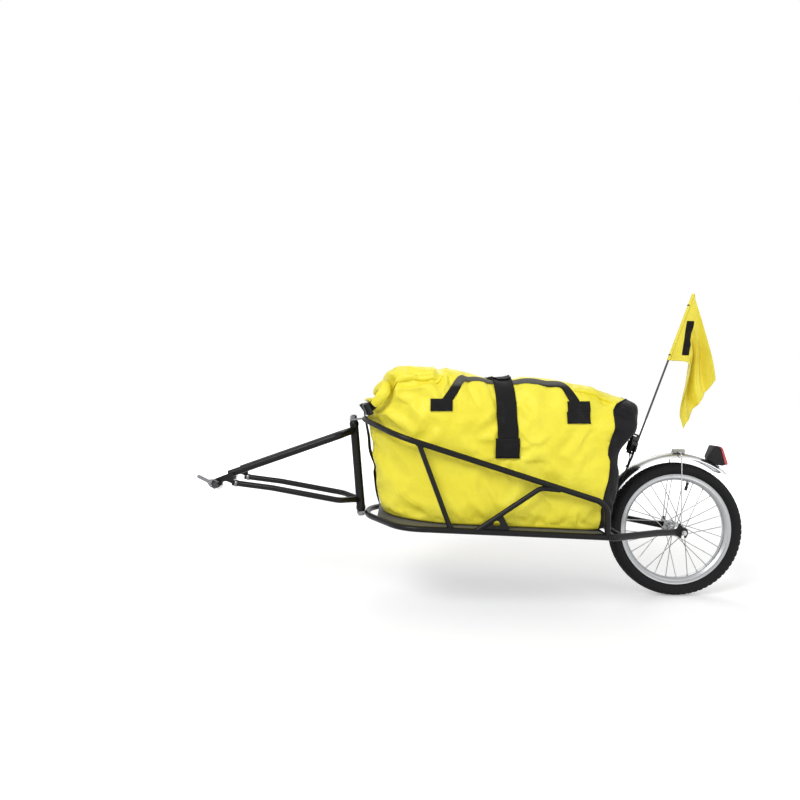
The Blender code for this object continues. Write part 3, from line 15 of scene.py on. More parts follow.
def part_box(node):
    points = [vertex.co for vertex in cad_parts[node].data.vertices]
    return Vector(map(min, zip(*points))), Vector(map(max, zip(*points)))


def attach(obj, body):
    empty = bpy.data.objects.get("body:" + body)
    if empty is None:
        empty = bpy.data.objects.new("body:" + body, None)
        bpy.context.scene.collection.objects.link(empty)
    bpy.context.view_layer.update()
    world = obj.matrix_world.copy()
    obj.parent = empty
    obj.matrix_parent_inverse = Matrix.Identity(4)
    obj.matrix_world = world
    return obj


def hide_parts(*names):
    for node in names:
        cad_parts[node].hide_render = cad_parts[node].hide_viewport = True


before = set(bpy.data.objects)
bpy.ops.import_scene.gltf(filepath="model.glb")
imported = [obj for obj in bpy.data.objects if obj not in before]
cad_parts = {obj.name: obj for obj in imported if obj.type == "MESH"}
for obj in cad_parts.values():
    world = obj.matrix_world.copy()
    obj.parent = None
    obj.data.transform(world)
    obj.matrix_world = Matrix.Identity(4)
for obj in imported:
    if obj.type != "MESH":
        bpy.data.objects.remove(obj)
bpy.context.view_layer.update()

SIDES = (("left", -1), ("right", 1))
UP = Vector((0, 0, 1))
ACROSS = Vector((0, 1, 0))
BACK = Vector((1, 0, 0))

# Photograph: a level camera that looks along +Y
IMAGE_PX = 800
FOCAL_PX = 590
CAMERA_PLACE = Vector((0.504, -1.70, 0.2365))
PRINCIPAL_PX = (400, 398)
SENSOR = 36.0


def middle_of(node):
    low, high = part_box(node)
    return (Vector(low) + Vector(high)) / 2


def size_of(node):
    low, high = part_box(node)
    return Vector(high) - Vector(low)


def clamp(value):
    return max(0.0, min(1.0, value))


FLOOR_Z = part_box("tyre")[0][2]

# Hitch, fork and steering axis
STEER_FOOT = Vector((0.385, 0, 0))
STEER_LEAN = math.radians(4.66)
STEER_AXIS = Vector((-math.sin(STEER_LEAN), 0, math.cos(STEER_LEAN)))
HEAD_R = 0.0122
HEAD_ENDS = (-0.0856, 0.1700)
ARM_RADII = (0.010, 0.008)
ARM_Y = (0.0632, 0.0652)
UPPER_ARM = ((0.030, 0.0258), (0.335, 0.1322), (0.3731, 0.1456))
LOWER_ARM = ((0.040, 0.0020), (0.150, -0.0125), (0.335, -0.0470), (0.3895, -0.0550))
ARM_BEND_R = 0.030

# Cargo frame
FRAME_HALF = 0.200
NOSE_HALF = 0.045
SHOULDER_X = 0.0953
NOSE_BEND_R = 0.120
SHOULDER_BEND_R = 0.090
UPPER_RAIL_R = 0.0077
UPPER_NOSE = (0.4030, 0.1770)
UPPER_REF = (0.5432, 0.1256)
UPPER_SLOPE = math.tan(math.radians(17.95))
UPRIGHT_X = 1.032
UPRIGHT_BEND_R = 0.040
LOWER_RAIL_R = 0.008
LOWER_NOSE = (0.4115, -0.0907)
LOWER_SLOPE = math.tan(math.radians(2.5))
RAIL_END_X = 1.041
CROSS_X = 1.030
CROSS_R = 0.007
STRUT_R = 0.0065
FRONT_STRUT_X = (0.5512, 0.634)
REAR_STRUT_X = (0.695, 0.862, 0.912)
REAR_STRUT_BEND_R = 0.035
FLOOR_TOP = 0.0065              # of the tray's sheet above the lower rails' middle

# Rear arms, wheel and fender
WHEEL = middle_of("rim")
ARM_R = 0.009
ARM_SHOULDER_X = 1.052
ARM_SHOULDER_R = 0.025
ARM_KNEE = (1.2045, 0.0946, -0.1308)
ARM_KNEE_R = 0.060
ARM_END = (1.2680, 0.0538, -0.1380)
TYRE_R = size_of("tyre").x / 2
TYRE_HALF = 0.022
RIM_R = 0.158
RIM_INNER_R = 0.140
HUB_BORE_R = 0.0045
VALVE_ANGLE = math.radians(73.3)
SPOKES = 28
SPOKE_CROSSING = math.radians(64)
FENDER_R = 0.2175
FENDER_ANGLES = (math.radians(48), math.radians(164))
FENDER_HALF = 0.029
FENDER_DROP = 0.012


class Value:
    """Socket of a node tree that Python's operators work on."""

    def __init__(self, nodes, socket):
        self.nodes = nodes
        self.socket = socket

    def __add__(self, other):
        return self.nodes.maths('ADD', self, other)

    def __sub__(self, other):
        return self.nodes.maths('SUBTRACT', self, other)

    def __rsub__(self, other):
        return self.nodes.maths('SUBTRACT', other, self)

    def __mul__(self, other):
        return self.nodes.maths('MULTIPLY', self, other)

    __radd__ = __add__
    __rmul__ = __mul__


class Nodes:
    """Node tree that nodes are added to, a call each."""

    def __init__(self, tree):
        self.tree = tree

    def node(self, kind, settings=None, sockets=None, out=0):
        """Add a node: its settings first, then the values or links of its sockets."""
        made = self.tree.nodes.new(kind)
        for name, value in (settings or {}).items():
            setattr(made, name, value)
        for key, value in (sockets or {}).items():
            if isinstance(value, Value):
                self.tree.links.new(value.socket, made.inputs[key])
            else:
                made.inputs[key].default_value = value
        return Value(self, made.outputs[out])

    def maths(self, operation, first, second=0.0):
        return self.node('ShaderNodeMath', {"operation": operation}, {0: first, 1: second})


class Finish(Nodes):
    """Material with its Principled BSDF, and the nodes that vary it over a surface."""

    def __init__(self, name, colour, roughness, metallic=0.0, **constants):
        self.material = bpy.data.materials.new(name)
        self.material.use_nodes = True
        super().__init__(self.material.node_tree)
        self.shader = self.tree.nodes["Principled BSDF"]
        self.shader.inputs["Base Color"].default_value = (*colour, 1)
        self.shader.inputs["Roughness"].default_value = roughness
        self.shader.inputs["Metallic"].default_value = metallic
        for key, value in constants.items():
            self.shader.inputs[key.replace("_", " ")].default_value = value

    def place(self, centre=(0, 0, 0), scale=(1, 1, 1)):
        """Object coordinates round this centre, stretched by this scale."""
        spot = self.node('ShaderNodeTexCoord', out="Object")
        return self.vector('MULTIPLY', self.vector('SUBTRACT', spot, tuple(centre)), tuple(scale))

    def along(self, axis, coordinates=None):
        """One coordinate as a number: of the object, or of these coordinates."""
        parts = self.tree.nodes.new('ShaderNodeSeparateXYZ')
        self.tree.links.new((coordinates or self.place()).socket, parts.inputs[0])
        return Value(self, parts.outputs[axis])

    def uv(self, axis):
        return self.along(axis, self.node('ShaderNodeTexCoord', out="UV"))

    def noise(self, scale, detail=3.0, distortion=0.0, where=None):
        return self.node('ShaderNodeTexNoise', {}, {
            "Vector": where or self.place(), "Scale": scale, "Detail": detail, "Distortion": distortion})

    def vector(self, operation, first, second):
        return self.node('ShaderNodeVectorMath', {"operation": operation}, {0: first, 1: second})

    def length(self, first):
        return self.node('ShaderNodeVectorMath', {"operation": 'LENGTH'}, {0: first}, "Value")

    def from_axle(self):
        """Distance from the wheel's axle."""
        return self.length(self.vector('MULTIPLY', self.place(WHEEL), (1, 0, 1)))

    def ramp(self, value, low, high, to_low=0.0, to_high=1.0):
        """Values from low to high spread smoothly from to_low to to_high, and held beyond."""
        return self.node('ShaderNodeMapRange', {"interpolation_type": 'SMOOTHSTEP'}, {
            "Value": value, "From Min": low, "From Max": high, "To Min": to_low, "To Max": to_high})

    def mix(self, share, first, second):
        """Colour between two colours."""
        made = self.tree.nodes.new('ShaderNodeMix')
        made.data_type = 'RGBA'
        for socket, value in ((made.inputs[0], share), (made.inputs[6], first), (made.inputs[7], second)):
            if isinstance(value, Value):
                self.tree.links.new(value.socket, socket)
            elif isinstance(value, tuple):
                socket.default_value = (*value, 1)
            else:
                socket.default_value = value
        return Value(self, made.outputs[2])

    def feed(self, socket, value):
        self.tree.links.new(value.socket, self.shader.inputs[socket])
        return self

    def bump(self, height, distance, strength=1.0):
        """Relief of this height in metres where the value goes from 0 to 1."""
        relief = self.node('ShaderNodeBump', {}, {
            "Height": height, "Distance": distance, "Strength": strength})
        return self.feed("Normal", relief)


def wave(finish, value, pitch):
    """0 to 1 and back over each pitch of a length in metres."""
    return finish.maths('SINE', value * (math.tau / pitch)) * 0.5 + 0.5


def powder_coat(name, colour, roughness=0.34):
    """Black powder coat: fine orange peel and a few dull rubs."""
    paint = Finish(name, colour, roughness, Specular_IOR_Level=0.22)
    peel = paint.noise(620, 2)
    rubs = paint.ramp(paint.noise(38, 4, 0.6), 0.58, 0.72)
    paint.feed("Roughness", rubs * 0.16 + peel * 0.06 + (roughness - 0.03))
    lighter = tuple(min(1.0, part * 1.35 + 0.003) for part in colour)
    paint.feed("Base Color", paint.mix(rubs * 0.55, colour, lighter))
    return paint.bump(peel, 0.00012).material


def plated(name, colour, roughness, grain=240, spread=0.14, stain=None):
    """Plated or bare metal, with cloudy roughness and a faint grain."""
    metal = Finish(name, colour, roughness, 1.0)
    clouds = metal.noise(30, 4)
    fine = metal.noise(grain, 3)
    metal.feed("Roughness", clouds * spread + fine * 0.08 + (roughness - spread / 2 - 0.04))
    tint = stain or tuple(part * 0.80 for part in colour)
    metal.feed("Base Color", metal.mix(metal.ramp(clouds, 0.42, 0.70), colour, tint))
    return metal.bump(fine, 0.00005).material


def spun(name, colour, roughness, pitch):
    """Metal turned round the wheel's axle: fine rings in its gloss."""
    metal = Finish(name, colour, roughness, 1.0)
    radius = metal.from_axle()
    rings = metal.node('ShaderNodeTexNoise', {"noise_dimensions": '1D'}, {
        "W": radius * (1 / pitch), "Scale": 1.0, "Detail": 3.0})
    clouds = metal.noise(26, 3)
    metal.feed("Roughness", rings * 0.22 + clouds * 0.10 + (roughness - 0.16))
    metal.feed("Base Color", metal.mix(clouds * 0.5, colour, tuple(part * 0.82 for part in colour)))
    return metal.bump(rings, 0.00005).material


def mirror_chrome():
    """Polished chrome, bright on its rolled lips; its crown is rougher and painted darker, a painted
    reflection of darker surroundings.
    """
    bright, painted_crown_reflection = (0.82, 0.83, 0.85), (0.27, 0.27, 0.24)
    metal = Finish("chrome", bright, 0.10, 1.0)
    radius = metal.from_axle()
    crown = metal.ramp(radius, FENDER_R - 0.0090, FENDER_R - 0.0050)
    clouds = metal.noise(22, 4, 0.5)
    specks = metal.ramp(metal.noise(900, 1), 0.70, 0.80)
    metal.feed("Roughness", crown * 0.16 + clouds * 0.10 + specks * 0.12 + 0.04)
    # Painted reflection: the crown's colour darkens to a grey that stands in for darker surroundings mirrored
    # there, mottled by the clouds.
    metal.feed("Base Color", metal.mix(crown * (clouds * 0.35 + 0.70), bright, painted_crown_reflection))
    return metal.material


def tyre_rubber():
    """Black rubber: moulding rings on the sidewall, dust in the tread."""
    rubber = Finish("tyre", (0.010, 0.010, 0.011), 0.82, Specular_IOR_Level=0.22)
    radius = rubber.from_axle()
    tread = rubber.ramp(radius, TYRE_R - 0.006, TYRE_R - 0.001)
    dust = rubber.ramp(rubber.noise(60, 5), 0.40, 0.75)
    rubber.feed("Base Color", rubber.mix(dust * (tread * 0.6 + 0.20), (0.009, 0.009, 0.010),
                                         (0.040, 0.038, 0.035)))
    rubber.feed("Roughness", dust * 0.14 + 0.76 - tread * 0.04)
    rings = wave(rubber, radius, 0.0016) * (1 - tread)
    return rubber.bump(rings * 0.7 + rubber.noise(1500, 2) * 0.5, 0.00022).material


def moulded(name, colour, roughness):
    """Moulded plastic with a fine leather-like grain."""
    plastic = Finish(name, colour, roughness, Specular_IOR_Level=0.24)
    grain = plastic.node('ShaderNodeTexVoronoi', {"feature": 'F1'}, {
        "Vector": plastic.place(), "Scale": 1400})
    scuffs = plastic.ramp(plastic.noise(55, 4, 0.5), 0.55, 0.72)
    plastic.feed("Roughness", scuffs * 0.18 + (roughness - 0.03))
    lighter = tuple(part + 0.008 for part in colour)
    plastic.feed("Base Color", plastic.mix(scuffs * 0.6, colour, lighter))
    return plastic.bump(grain, 0.00010).material


def red_lens():
    """Clear red plastic over its reflecting cells."""
    lens = Finish("red_lens", (0.55, 0.010, 0.018), 0.14, Coat_Weight=0.8, Coat_Roughness=0.05)
    cells = lens.node('ShaderNodeTexVoronoi', {"feature": 'F1', "distance": 'CHEBYCHEV'}, {
        "Vector": lens.place(), "Scale": 330})
    lens.feed("Base Color", lens.mix(lens.ramp(cells, 0.0, 0.7), (0.72, 0.020, 0.028), (0.30, 0.004, 0.010)))
    return lens.bump(cells, 0.0004).material


def coated_cloth(name, colour, shade, roughness, gloss=0.4, scrim=0.0018):
    """Coated bag fabric: scrim under the coat, soft crumples, rubs and tone that varies at random."""
    cloth = Finish(name, colour, roughness, Specular_IOR_Level=gloss)
    across = wave(cloth, cloth.uv(0), scrim)
    down = wave(cloth, cloth.uv(1), scrim)
    weave = cloth.maths('MAXIMUM', across, down)
    crumples = cloth.noise(15, 5, 1.2)
    small = cloth.noise(70, 3, 0.8)
    rubbed = cloth.ramp(cloth.noise(9, 5, 0.5), 0.50, 0.74)
    tone = cloth.ramp(cloth.noise(4.5, 3, 0.6), 0.34, 0.68)
    cloth.feed("Base Color", cloth.mix(tone * 0.75 + rubbed * 0.18, colour, shade))
    cloth.feed("Roughness", rubbed * 0.14 + small * 0.10 + (roughness - 0.06))
    return cloth.bump(crumples * 0.78 + small * 0.20 + weave * 0.010, 0.0080, 0.6).material


def webbing(name, colour, pitch=0.0016, painted_sheen=None):
    """Woven strap: ribs along it and picks across it, worn lighter threads, and, if asked, a painted sheen
    that makes its top lighter.
    """
    strap = Finish(name, colour, 0.70, Specular_IOR_Level=0.12)
    picks = wave(strap, strap.uv(1), pitch)
    ribs = wave(strap, strap.uv(0) + strap.uv(1) * 0.5, pitch * 1.5)
    fuzz = strap.noise(420, 3)
    worn = strap.ramp(strap.noise(45, 4), 0.50, 0.74)
    lighter = tuple(part * 2.0 + 0.004 for part in colour)
    tone = strap.mix(worn * 0.5 + fuzz * picks * 0.25, colour, lighter)
    # Painted sheen: above a given height the colour turns lighter, standing in for light caught by the
    # webbing's top.
    if painted_sheen:
        tone = strap.mix(strap.ramp(strap.along(2), 0.264, 0.277) * (fuzz * 0.5 + 0.6), tone, painted_sheen)
    strap.feed("Base Color", tone)
    strap.feed("Roughness", picks * 0.10 + 0.64)
    return strap.bump(picks * 0.55 + ribs * 0.35 + fuzz * 0.15, 0.00045).material


def flag_cloth():
    """Thin fluorescent flag cloth, woven, with paler worn folds."""
    cloth = Finish("yellow_cloth", (0.86, 0.74, 0.02), 0.55, Sheen_Weight=0.25)
    threads = wave(cloth, cloth.uv(0), 0.0011) * wave(cloth, cloth.uv(1), 0.0011)
    tone = cloth.ramp(cloth.noise(14, 3, 0.5), 0.34, 0.70)
    cloth.feed("Base Color", cloth.mix(tone * 0.8, (0.92, 0.80, 0.060), (0.82, 0.67, 0.035)))
    cloth.feed("Roughness", tone * 0.12 + 0.48)
    return cloth.bump(threads * 0.3 + cloth.noise(60, 3, 0.8), 0.0008).material


BLACK_PAINT = powder_coat("black_paint", (0.0040, 0.0040, 0.0046))
GREY_PAINT = powder_coat("grey_paint", (0.26, 0.27, 0.28), 0.38)
DARK_SHEET = powder_coat("dark_sheet", (0.105, 0.105, 0.112), 0.60)
ZINC = plated("zinc", (0.60, 0.61, 0.63), 0.34, stain=(0.50, 0.49, 0.44))
DULL_ZINC = plated("dull_zinc", (0.30, 0.30, 0.28), 0.50, stain=(0.24, 0.24, 0.21))
STEEL = plated("steel", (0.62, 0.63, 0.65), 0.24)
CHROME = mirror_chrome()
ALUMINIUM = spun("aluminium", (0.44, 0.45, 0.46), 0.36, 0.00045)
WIRE = plated("spoke_wire", (0.40, 0.40, 0.40), 0.46, 500, 0.08)
RUBBER = tyre_rubber()
BLACK_PLASTIC = moulded("black_plastic", (0.008, 0.008, 0.009), 0.42)
RED_LENS = red_lens()
FIBREGLASS = moulded("pole", (0.055, 0.055, 0.060), 0.36)
FLAG_CLOTH = flag_cloth()
YELLOW_COATED = coated_cloth("yellow_coated", (0.87, 0.78, 0.060), (0.80, 0.69, 0.034), 0.50, 0.32)
BLACK_COATED = coated_cloth("black_coated", (0.0060, 0.0052, 0.0066), (0.0120, 0.0105, 0.0125), 0.52, 0.14)
WEBBING = webbing("webbing", (0.0090, 0.0090, 0.0095))
# Handle webbing, its top made lighter by a painted sheen.
SHEEN_PAINTED_WEBBING = webbing("worn_webbing", (0.0090, 0.0090, 0.0095), painted_sheen=(0.130, 0.125, 0.110))
FLAG_PATCH = webbing("flag_patch", (0.010, 0.008, 0.008), 0.0010)
BLACKENED = plated("blackened", (0.060, 0.060, 0.064), 0.36, stain=(0.040, 0.040, 0.042))
DARK_STEEL = plated("dark_steel", (0.20, 0.20, 0.215), 0.32, stain=(0.13, 0.13, 0.14))


THREAD = webbing("thread", (0.030, 0.030, 0.032), 0.0008)


def new_object(name, data):
    """Object in the scene, with this data."""
    obj = bpy.data.objects.new(name, data)
    bpy.context.scene.collection.objects.link(obj)
    return obj


def distances(points):
    """How far along a path each of its points lies."""
    found = [0.0]
    for before, after in zip(points, points[1:]):
        found.append(found[-1] + (after - before).length)
    return found


def heading(points, index):
    """Direction of a path at one of its points."""
    return (points[min(index + 1, len(points) - 1)] - points[max(index - 1, 0)]).normalized()


def both_sides(section):
    """Half of a (radius, Y) section, and its mirror image after it."""
    return section + [(radius, -y) for radius, y in reversed(section)]


class Shape:
    """Mesh under construction, with a UV map in metres."""

    def __init__(self):
        self.mesh = bmesh.new()
        self.uv = self.mesh.loops.layers.uv.new("UVMap")

    def grid(self, rows, closed_rows=False, closed_across=False, uv=None, flip=False):
        """Faces between rows of points. uv(row, column) gives each corner's place on the cloth."""
        made = [[self.mesh.verts.new(point) for point in row] for row in rows]
        row_count = len(made) if closed_rows else len(made) - 1
        across = len(made[0]) if closed_across else len(made[0]) - 1
        for i in range(row_count):
            for j in range(across):
                places = [(i, j), (i, j + 1), (i + 1, j + 1), (i + 1, j)]
                if flip:
                    places.reverse()
                corners = [made[a % len(made)][b % len(made[0])] for a, b in places]
                if len(set(corners)) < 4:
                    continue
                face = self.mesh.faces.new(corners)
                for loop, spot in zip(face.loops, places):
                    loop[self.uv].uv = uv(*spot) if uv else spot
        return made

    def cap(self, ring):
        self.mesh.faces.new(ring)

    def tube(self, points, radius, sides=24, closed=False):
        """Round bar along the points. The radius may be a list, one for each point."""
        points = [Vector(point) for point in points]
        radii = radius if isinstance(radius, list) else [radius] * len(points)
        rows, lengths = [], distances(points)
        for index, (point, normal, side) in enumerate(frames_along(points, closed)):
            around = [math.tau * step / sides for step in range(sides)]
            rows.append([point + (normal * math.cos(turn) + side * math.sin(turn)) * radii[index]
                         for turn in around])
        girth = math.tau * max(radii)
        made = self.grid(rows, closed, True, lambda i, j: (j / sides * girth, lengths[i % len(points)]), True)
        if not closed:
            self.cap(made[0])
            self.cap(list(reversed(made[-1])))
        return self

    def lathe(self, profile, base, axis, sides=64, closed=True):
        """Body of revolution of a (radius, height) profile down its outer side, then up its bore."""
        turn_to = UP.rotation_difference(Vector(axis))
        rows = []
        for radius, height in profile:
            rows.append([Vector(base) + turn_to @ Vector((radius * math.cos(math.tau * step / sides),
                                                          radius * math.sin(math.tau * step / sides), height))
                         for step in range(sides)])
        self.grid(rows, closed, True, lambda i, j: (j / sides * math.tau * profile[i % len(profile)][0],
                                                    profile[i % len(profile)][1]))
        return self

    def block(self, place, size):
        """Box of this size in the place of a matrix."""
        made = bmesh.ops.create_cube(self.mesh, size=1, matrix=place @ Matrix.Diagonal((*size, 1)))
        return made["verts"]

    def piece(self, name, material, sharp=35, bevel=0.0, thickness=0.0):
        """Finished object: doubles merged, normals out, smooth below the sharp angle."""
        bmesh.ops.remove_doubles(self.mesh, verts=self.mesh.verts, dist=1e-6)
        bmesh.ops.recalc_face_normals(self.mesh, faces=self.mesh.faces)
        data = bpy.data.meshes.new(name)
        self.mesh.to_mesh(data)
        self.mesh.free()
        data.shade_smooth()
        data.set_sharp_from_angle(angle=math.radians(sharp))
        data.materials.append(material)
        obj = new_object(name, data)
        if thickness:
            wall = obj.modifiers.new("wall", 'SOLIDIFY')
            wall.thickness = thickness
            wall.offset = -1
        if bevel:
            add_bevel(obj, bevel)
        return obj


def add_bevel(obj, width, segments=2):
    edge = obj.modifiers.new("edge", 'BEVEL')
    edge.width = width
    edge.segments = segments
    edge.limit_method = 'ANGLE'
    edge.angle_limit = math.radians(32)
    edge.harden_normals = True


def frames_along(points, closed=False):
    """Each point of a path with two directions square to it, turned as little as possible."""
    count = len(points)
    tangents = []
    for index in range(count):
        before = points[index - 1] if index or closed else points[0]
        after = points[(index + 1) % count] if index < count - 1 or closed else points[-1]
        tangents.append((after - before).normalized())
    normal = tangents[0].orthogonal().normalized()
    found = []
    for point, tangent, last in zip(points, tangents, [tangents[0]] + tangents):
        normal = last.rotation_difference(tangent) @ normal
        normal = (normal - tangent * normal.dot(tangent)).normalized()
        found.append((point, normal, tangent.cross(normal)))
    return found


def rounded_path(corners, max_turn=math.radians(6)):
    """Points of a bent tube: straight runs, with each (corner, radius) rounded to its radius."""
    points = [Vector(corners[0][0])]
    for (before, _), (corner, radius), (after, _) in zip(corners, corners[1:], corners[2:]):
        into = (Vector(corner) - Vector(before)).normalized()
        out = (Vector(after) - Vector(corner)).normalized()
        turn = into.angle(out)
        hinge = into.cross(out).normalized()
        start = Vector(corner) - into * radius * math.tan(turn / 2)
        centre = start + hinge.cross(into) * radius
        steps = max(2, math.ceil(turn / max_turn))
        for step in range(steps + 1):
            points.append(centre + Matrix.Rotation(turn * step / steps, 3, hinge) @ (start - centre))
    points.append(Vector(corners[-1][0]))
    return points


def smooth_path(points, steps=8):
    """Curve through the points, with this many steps between two of them."""
    points = [Vector(point) for point in points]
    ends = [points[0] * 2 - points[1]] + points + [points[-1] * 2 - points[-2]]
    found = []
    for a, b, c, d in zip(ends, ends[1:], ends[2:], ends[3:]):
        for step in range(steps):
            t = step / steps
            found.append(0.5 * ((2 * b) + (c - a) * t + (2 * a - 5 * b + 4 * c - d) * t * t
                                + (3 * b - a - 3 * c + d) * t ** 3))
    return found + [points[-1]]


def mirrored(points, sign):
    return [Vector((point[0], point[1] * sign, point[2])) for point in points]


def upper_z(x):
    return UPPER_REF[1] - UPPER_SLOPE * (x - UPPER_REF[0])


def lower_z(x):
    return LOWER_NOSE[1] - LOWER_SLOPE * (x - LOWER_NOSE[0])


def join(obj, body, finish_slot, *nodes):
    """Hang a finished piece on its body and let it stand for these solids; finish_slot is not used."""
    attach(obj, body)
    if nodes:
        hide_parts(*nodes)
    return obj


def polished(node, material, body, finish_slot, bevel=0.0004, segments=2):
    """Solid with its edges rounded and its round faces smooth, in the same place."""
    shape = bmesh.new()
    shape.from_mesh(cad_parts[node].data)
    bmesh.ops.remove_doubles(shape, verts=shape.verts, dist=2e-6)
    bmesh.ops.dissolve_limit(shape, angle_limit=math.radians(1), verts=shape.verts, edges=shape.edges)
    data = bpy.data.meshes.new(node)
    shape.to_mesh(data)
    shape.free()
    data.shade_smooth()
    data.set_sharp_from_angle(angle=math.radians(32))
    data.materials.append(material)
    obj = new_object(node + "_finished", data)
    if bevel:
        add_bevel(obj, bevel, segments)
    return join(obj, body, finish_slot, node)


def weld(name, pairs, body):
    """Beads where tubes meet. Each pair is the ending tube and the other: point, direction and radius."""
    bead = Shape()
    for (start, run, radius), (other, other_run, other_radius) in pairs:
        start, run = Vector(start), Vector(run).normalized()
        other, other_run = Vector(other), Vector(other_run).normalized()
        normal = run.orthogonal().normalized()
        side = run.cross(normal)
        loop = []
        for step in range(40):
            turn = math.tau * step / 40
            spot = start + (normal * math.cos(turn) + side * math.sin(turn)) * (radius + 0.0006)
            across_run = run - other_run * run.dot(other_run)
            offset = (spot - other) - other_run * (spot - other).dot(other_run)
            a = across_run.dot(across_run)
            b = 2 * across_run.dot(offset)
            c = offset.dot(offset) - (other_radius + 0.0004) ** 2
            inside = max(0.0, b * b - 4 * a * c)
            loop.append(spot + run * (-b - math.sqrt(inside)) / (2 * a))
        ripple = [0.0017 + 0.0003 * math.sin(step * 2.4) for step in range(40)]
        bead.tube(loop, ripple, 8, True)
    return join(bead.piece(name, BLACK_PAINT, 80), body, "black_paint")


def camera():
    data = bpy.data.cameras.new("camera")
    data.sensor_width = SENSOR
    data.lens = SENSOR * FOCAL_PX / IMAGE_PX
    data.shift_y = (PRINCIPAL_PX[1] - IMAGE_PX / 2) / IMAGE_PX
    obj = new_object("camera", data)
    obj.location = CAMERA_PLACE
    obj.rotation_euler = (math.pi / 2, 0, 0)
    bpy.context.scene.camera = obj


def lamp(name, place, target, size, power):
    data = bpy.data.lights.new(name, 'AREA')
    data.shape = 'DISK'
    data.size = size
    data.energy = power
    obj = new_object(name, data)
    obj.location = place
    obj.rotation_mode = 'QUATERNION'
    obj.rotation_quaternion = (Vector(target) - Vector(place)).to_track_quat('-Z', 'Y')


# Studio: strength of the surroundings' light, the floor, and each lamp's place, target, size and watts
AMBIENT = 0.52
FLOOR_CLEARANCE = 0.0004
FLOOR_REACH = 14.0
FLOOR_GLOW = 0.30
LAMPS = (("key", (-0.9, -2.6, 2.5), (0.75, 0, 0.05), 1.8, 78),
         ("fill", (2.9, -2.3, 1.1), (0.9, 0, 0.1), 2.2, 16),
         ("rear", (1.4, 2.8, 2.4), (0.8, 0, 0.0), 2.4, 26))


def seen_directly(nodes):
    """1 for rays from the camera, a mirror or glass."""
    rays = nodes.tree.nodes.new('ShaderNodeLightPath')
    seen = Value(nodes, rays.outputs["Is Camera Ray"])
    for other in ("Is Glossy Ray", "Is Transmission Ray"):
        seen = nodes.maths('MAXIMUM', seen, Value(nodes, rays.outputs[other]))
    return seen


def studio():
    """White surroundings, a floor that keeps the soft shadow, and three large lamps."""
    scene = bpy.context.scene
    scene.view_settings.view_transform = 'Standard'
    world = bpy.data.worlds.new("studio")
    scene.world = world
    world.use_nodes = True
    sky = Nodes(world.node_tree)
    seen = seen_directly(sky)
    light = sky.tree.nodes["Background"]
    light.inputs["Color"].default_value = (1, 1, 1, 1)
    strength = sky.node('ShaderNodeMapRange', {}, {"Value": seen, "To Min": AMBIENT, "To Max": 1.0})
    sky.tree.links.new(strength.socket, light.inputs["Strength"])

    ground = bpy.data.meshes.new("floor")
    level = FLOOR_Z - FLOOR_CLEARANCE
    corners = [(x * FLOOR_REACH, y * FLOOR_REACH, level) for x, y in ((-1, -1), (1, -1), (1, 1), (-1, 1))]
    ground.from_pydata(corners, [], [(0, 1, 2, 3)])
    floor = new_object("floor", ground)
    pale = Finish("pale_floor", (0.86, 0.86, 0.86), 0.9, Emission_Strength=1.0)
    shown = seen_directly(pale)
    far = pale.ramp(pale.length(pale.place((0.6, 0, 0))), 1.2, 3.2, FLOOR_GLOW, 1.0)
    pale.feed("Emission Color", pale.mix(shown * far, (0, 0, 0), (1, 1, 1)))
    ground.materials.append(pale.material)

    for row in LAMPS:
        lamp(*row)


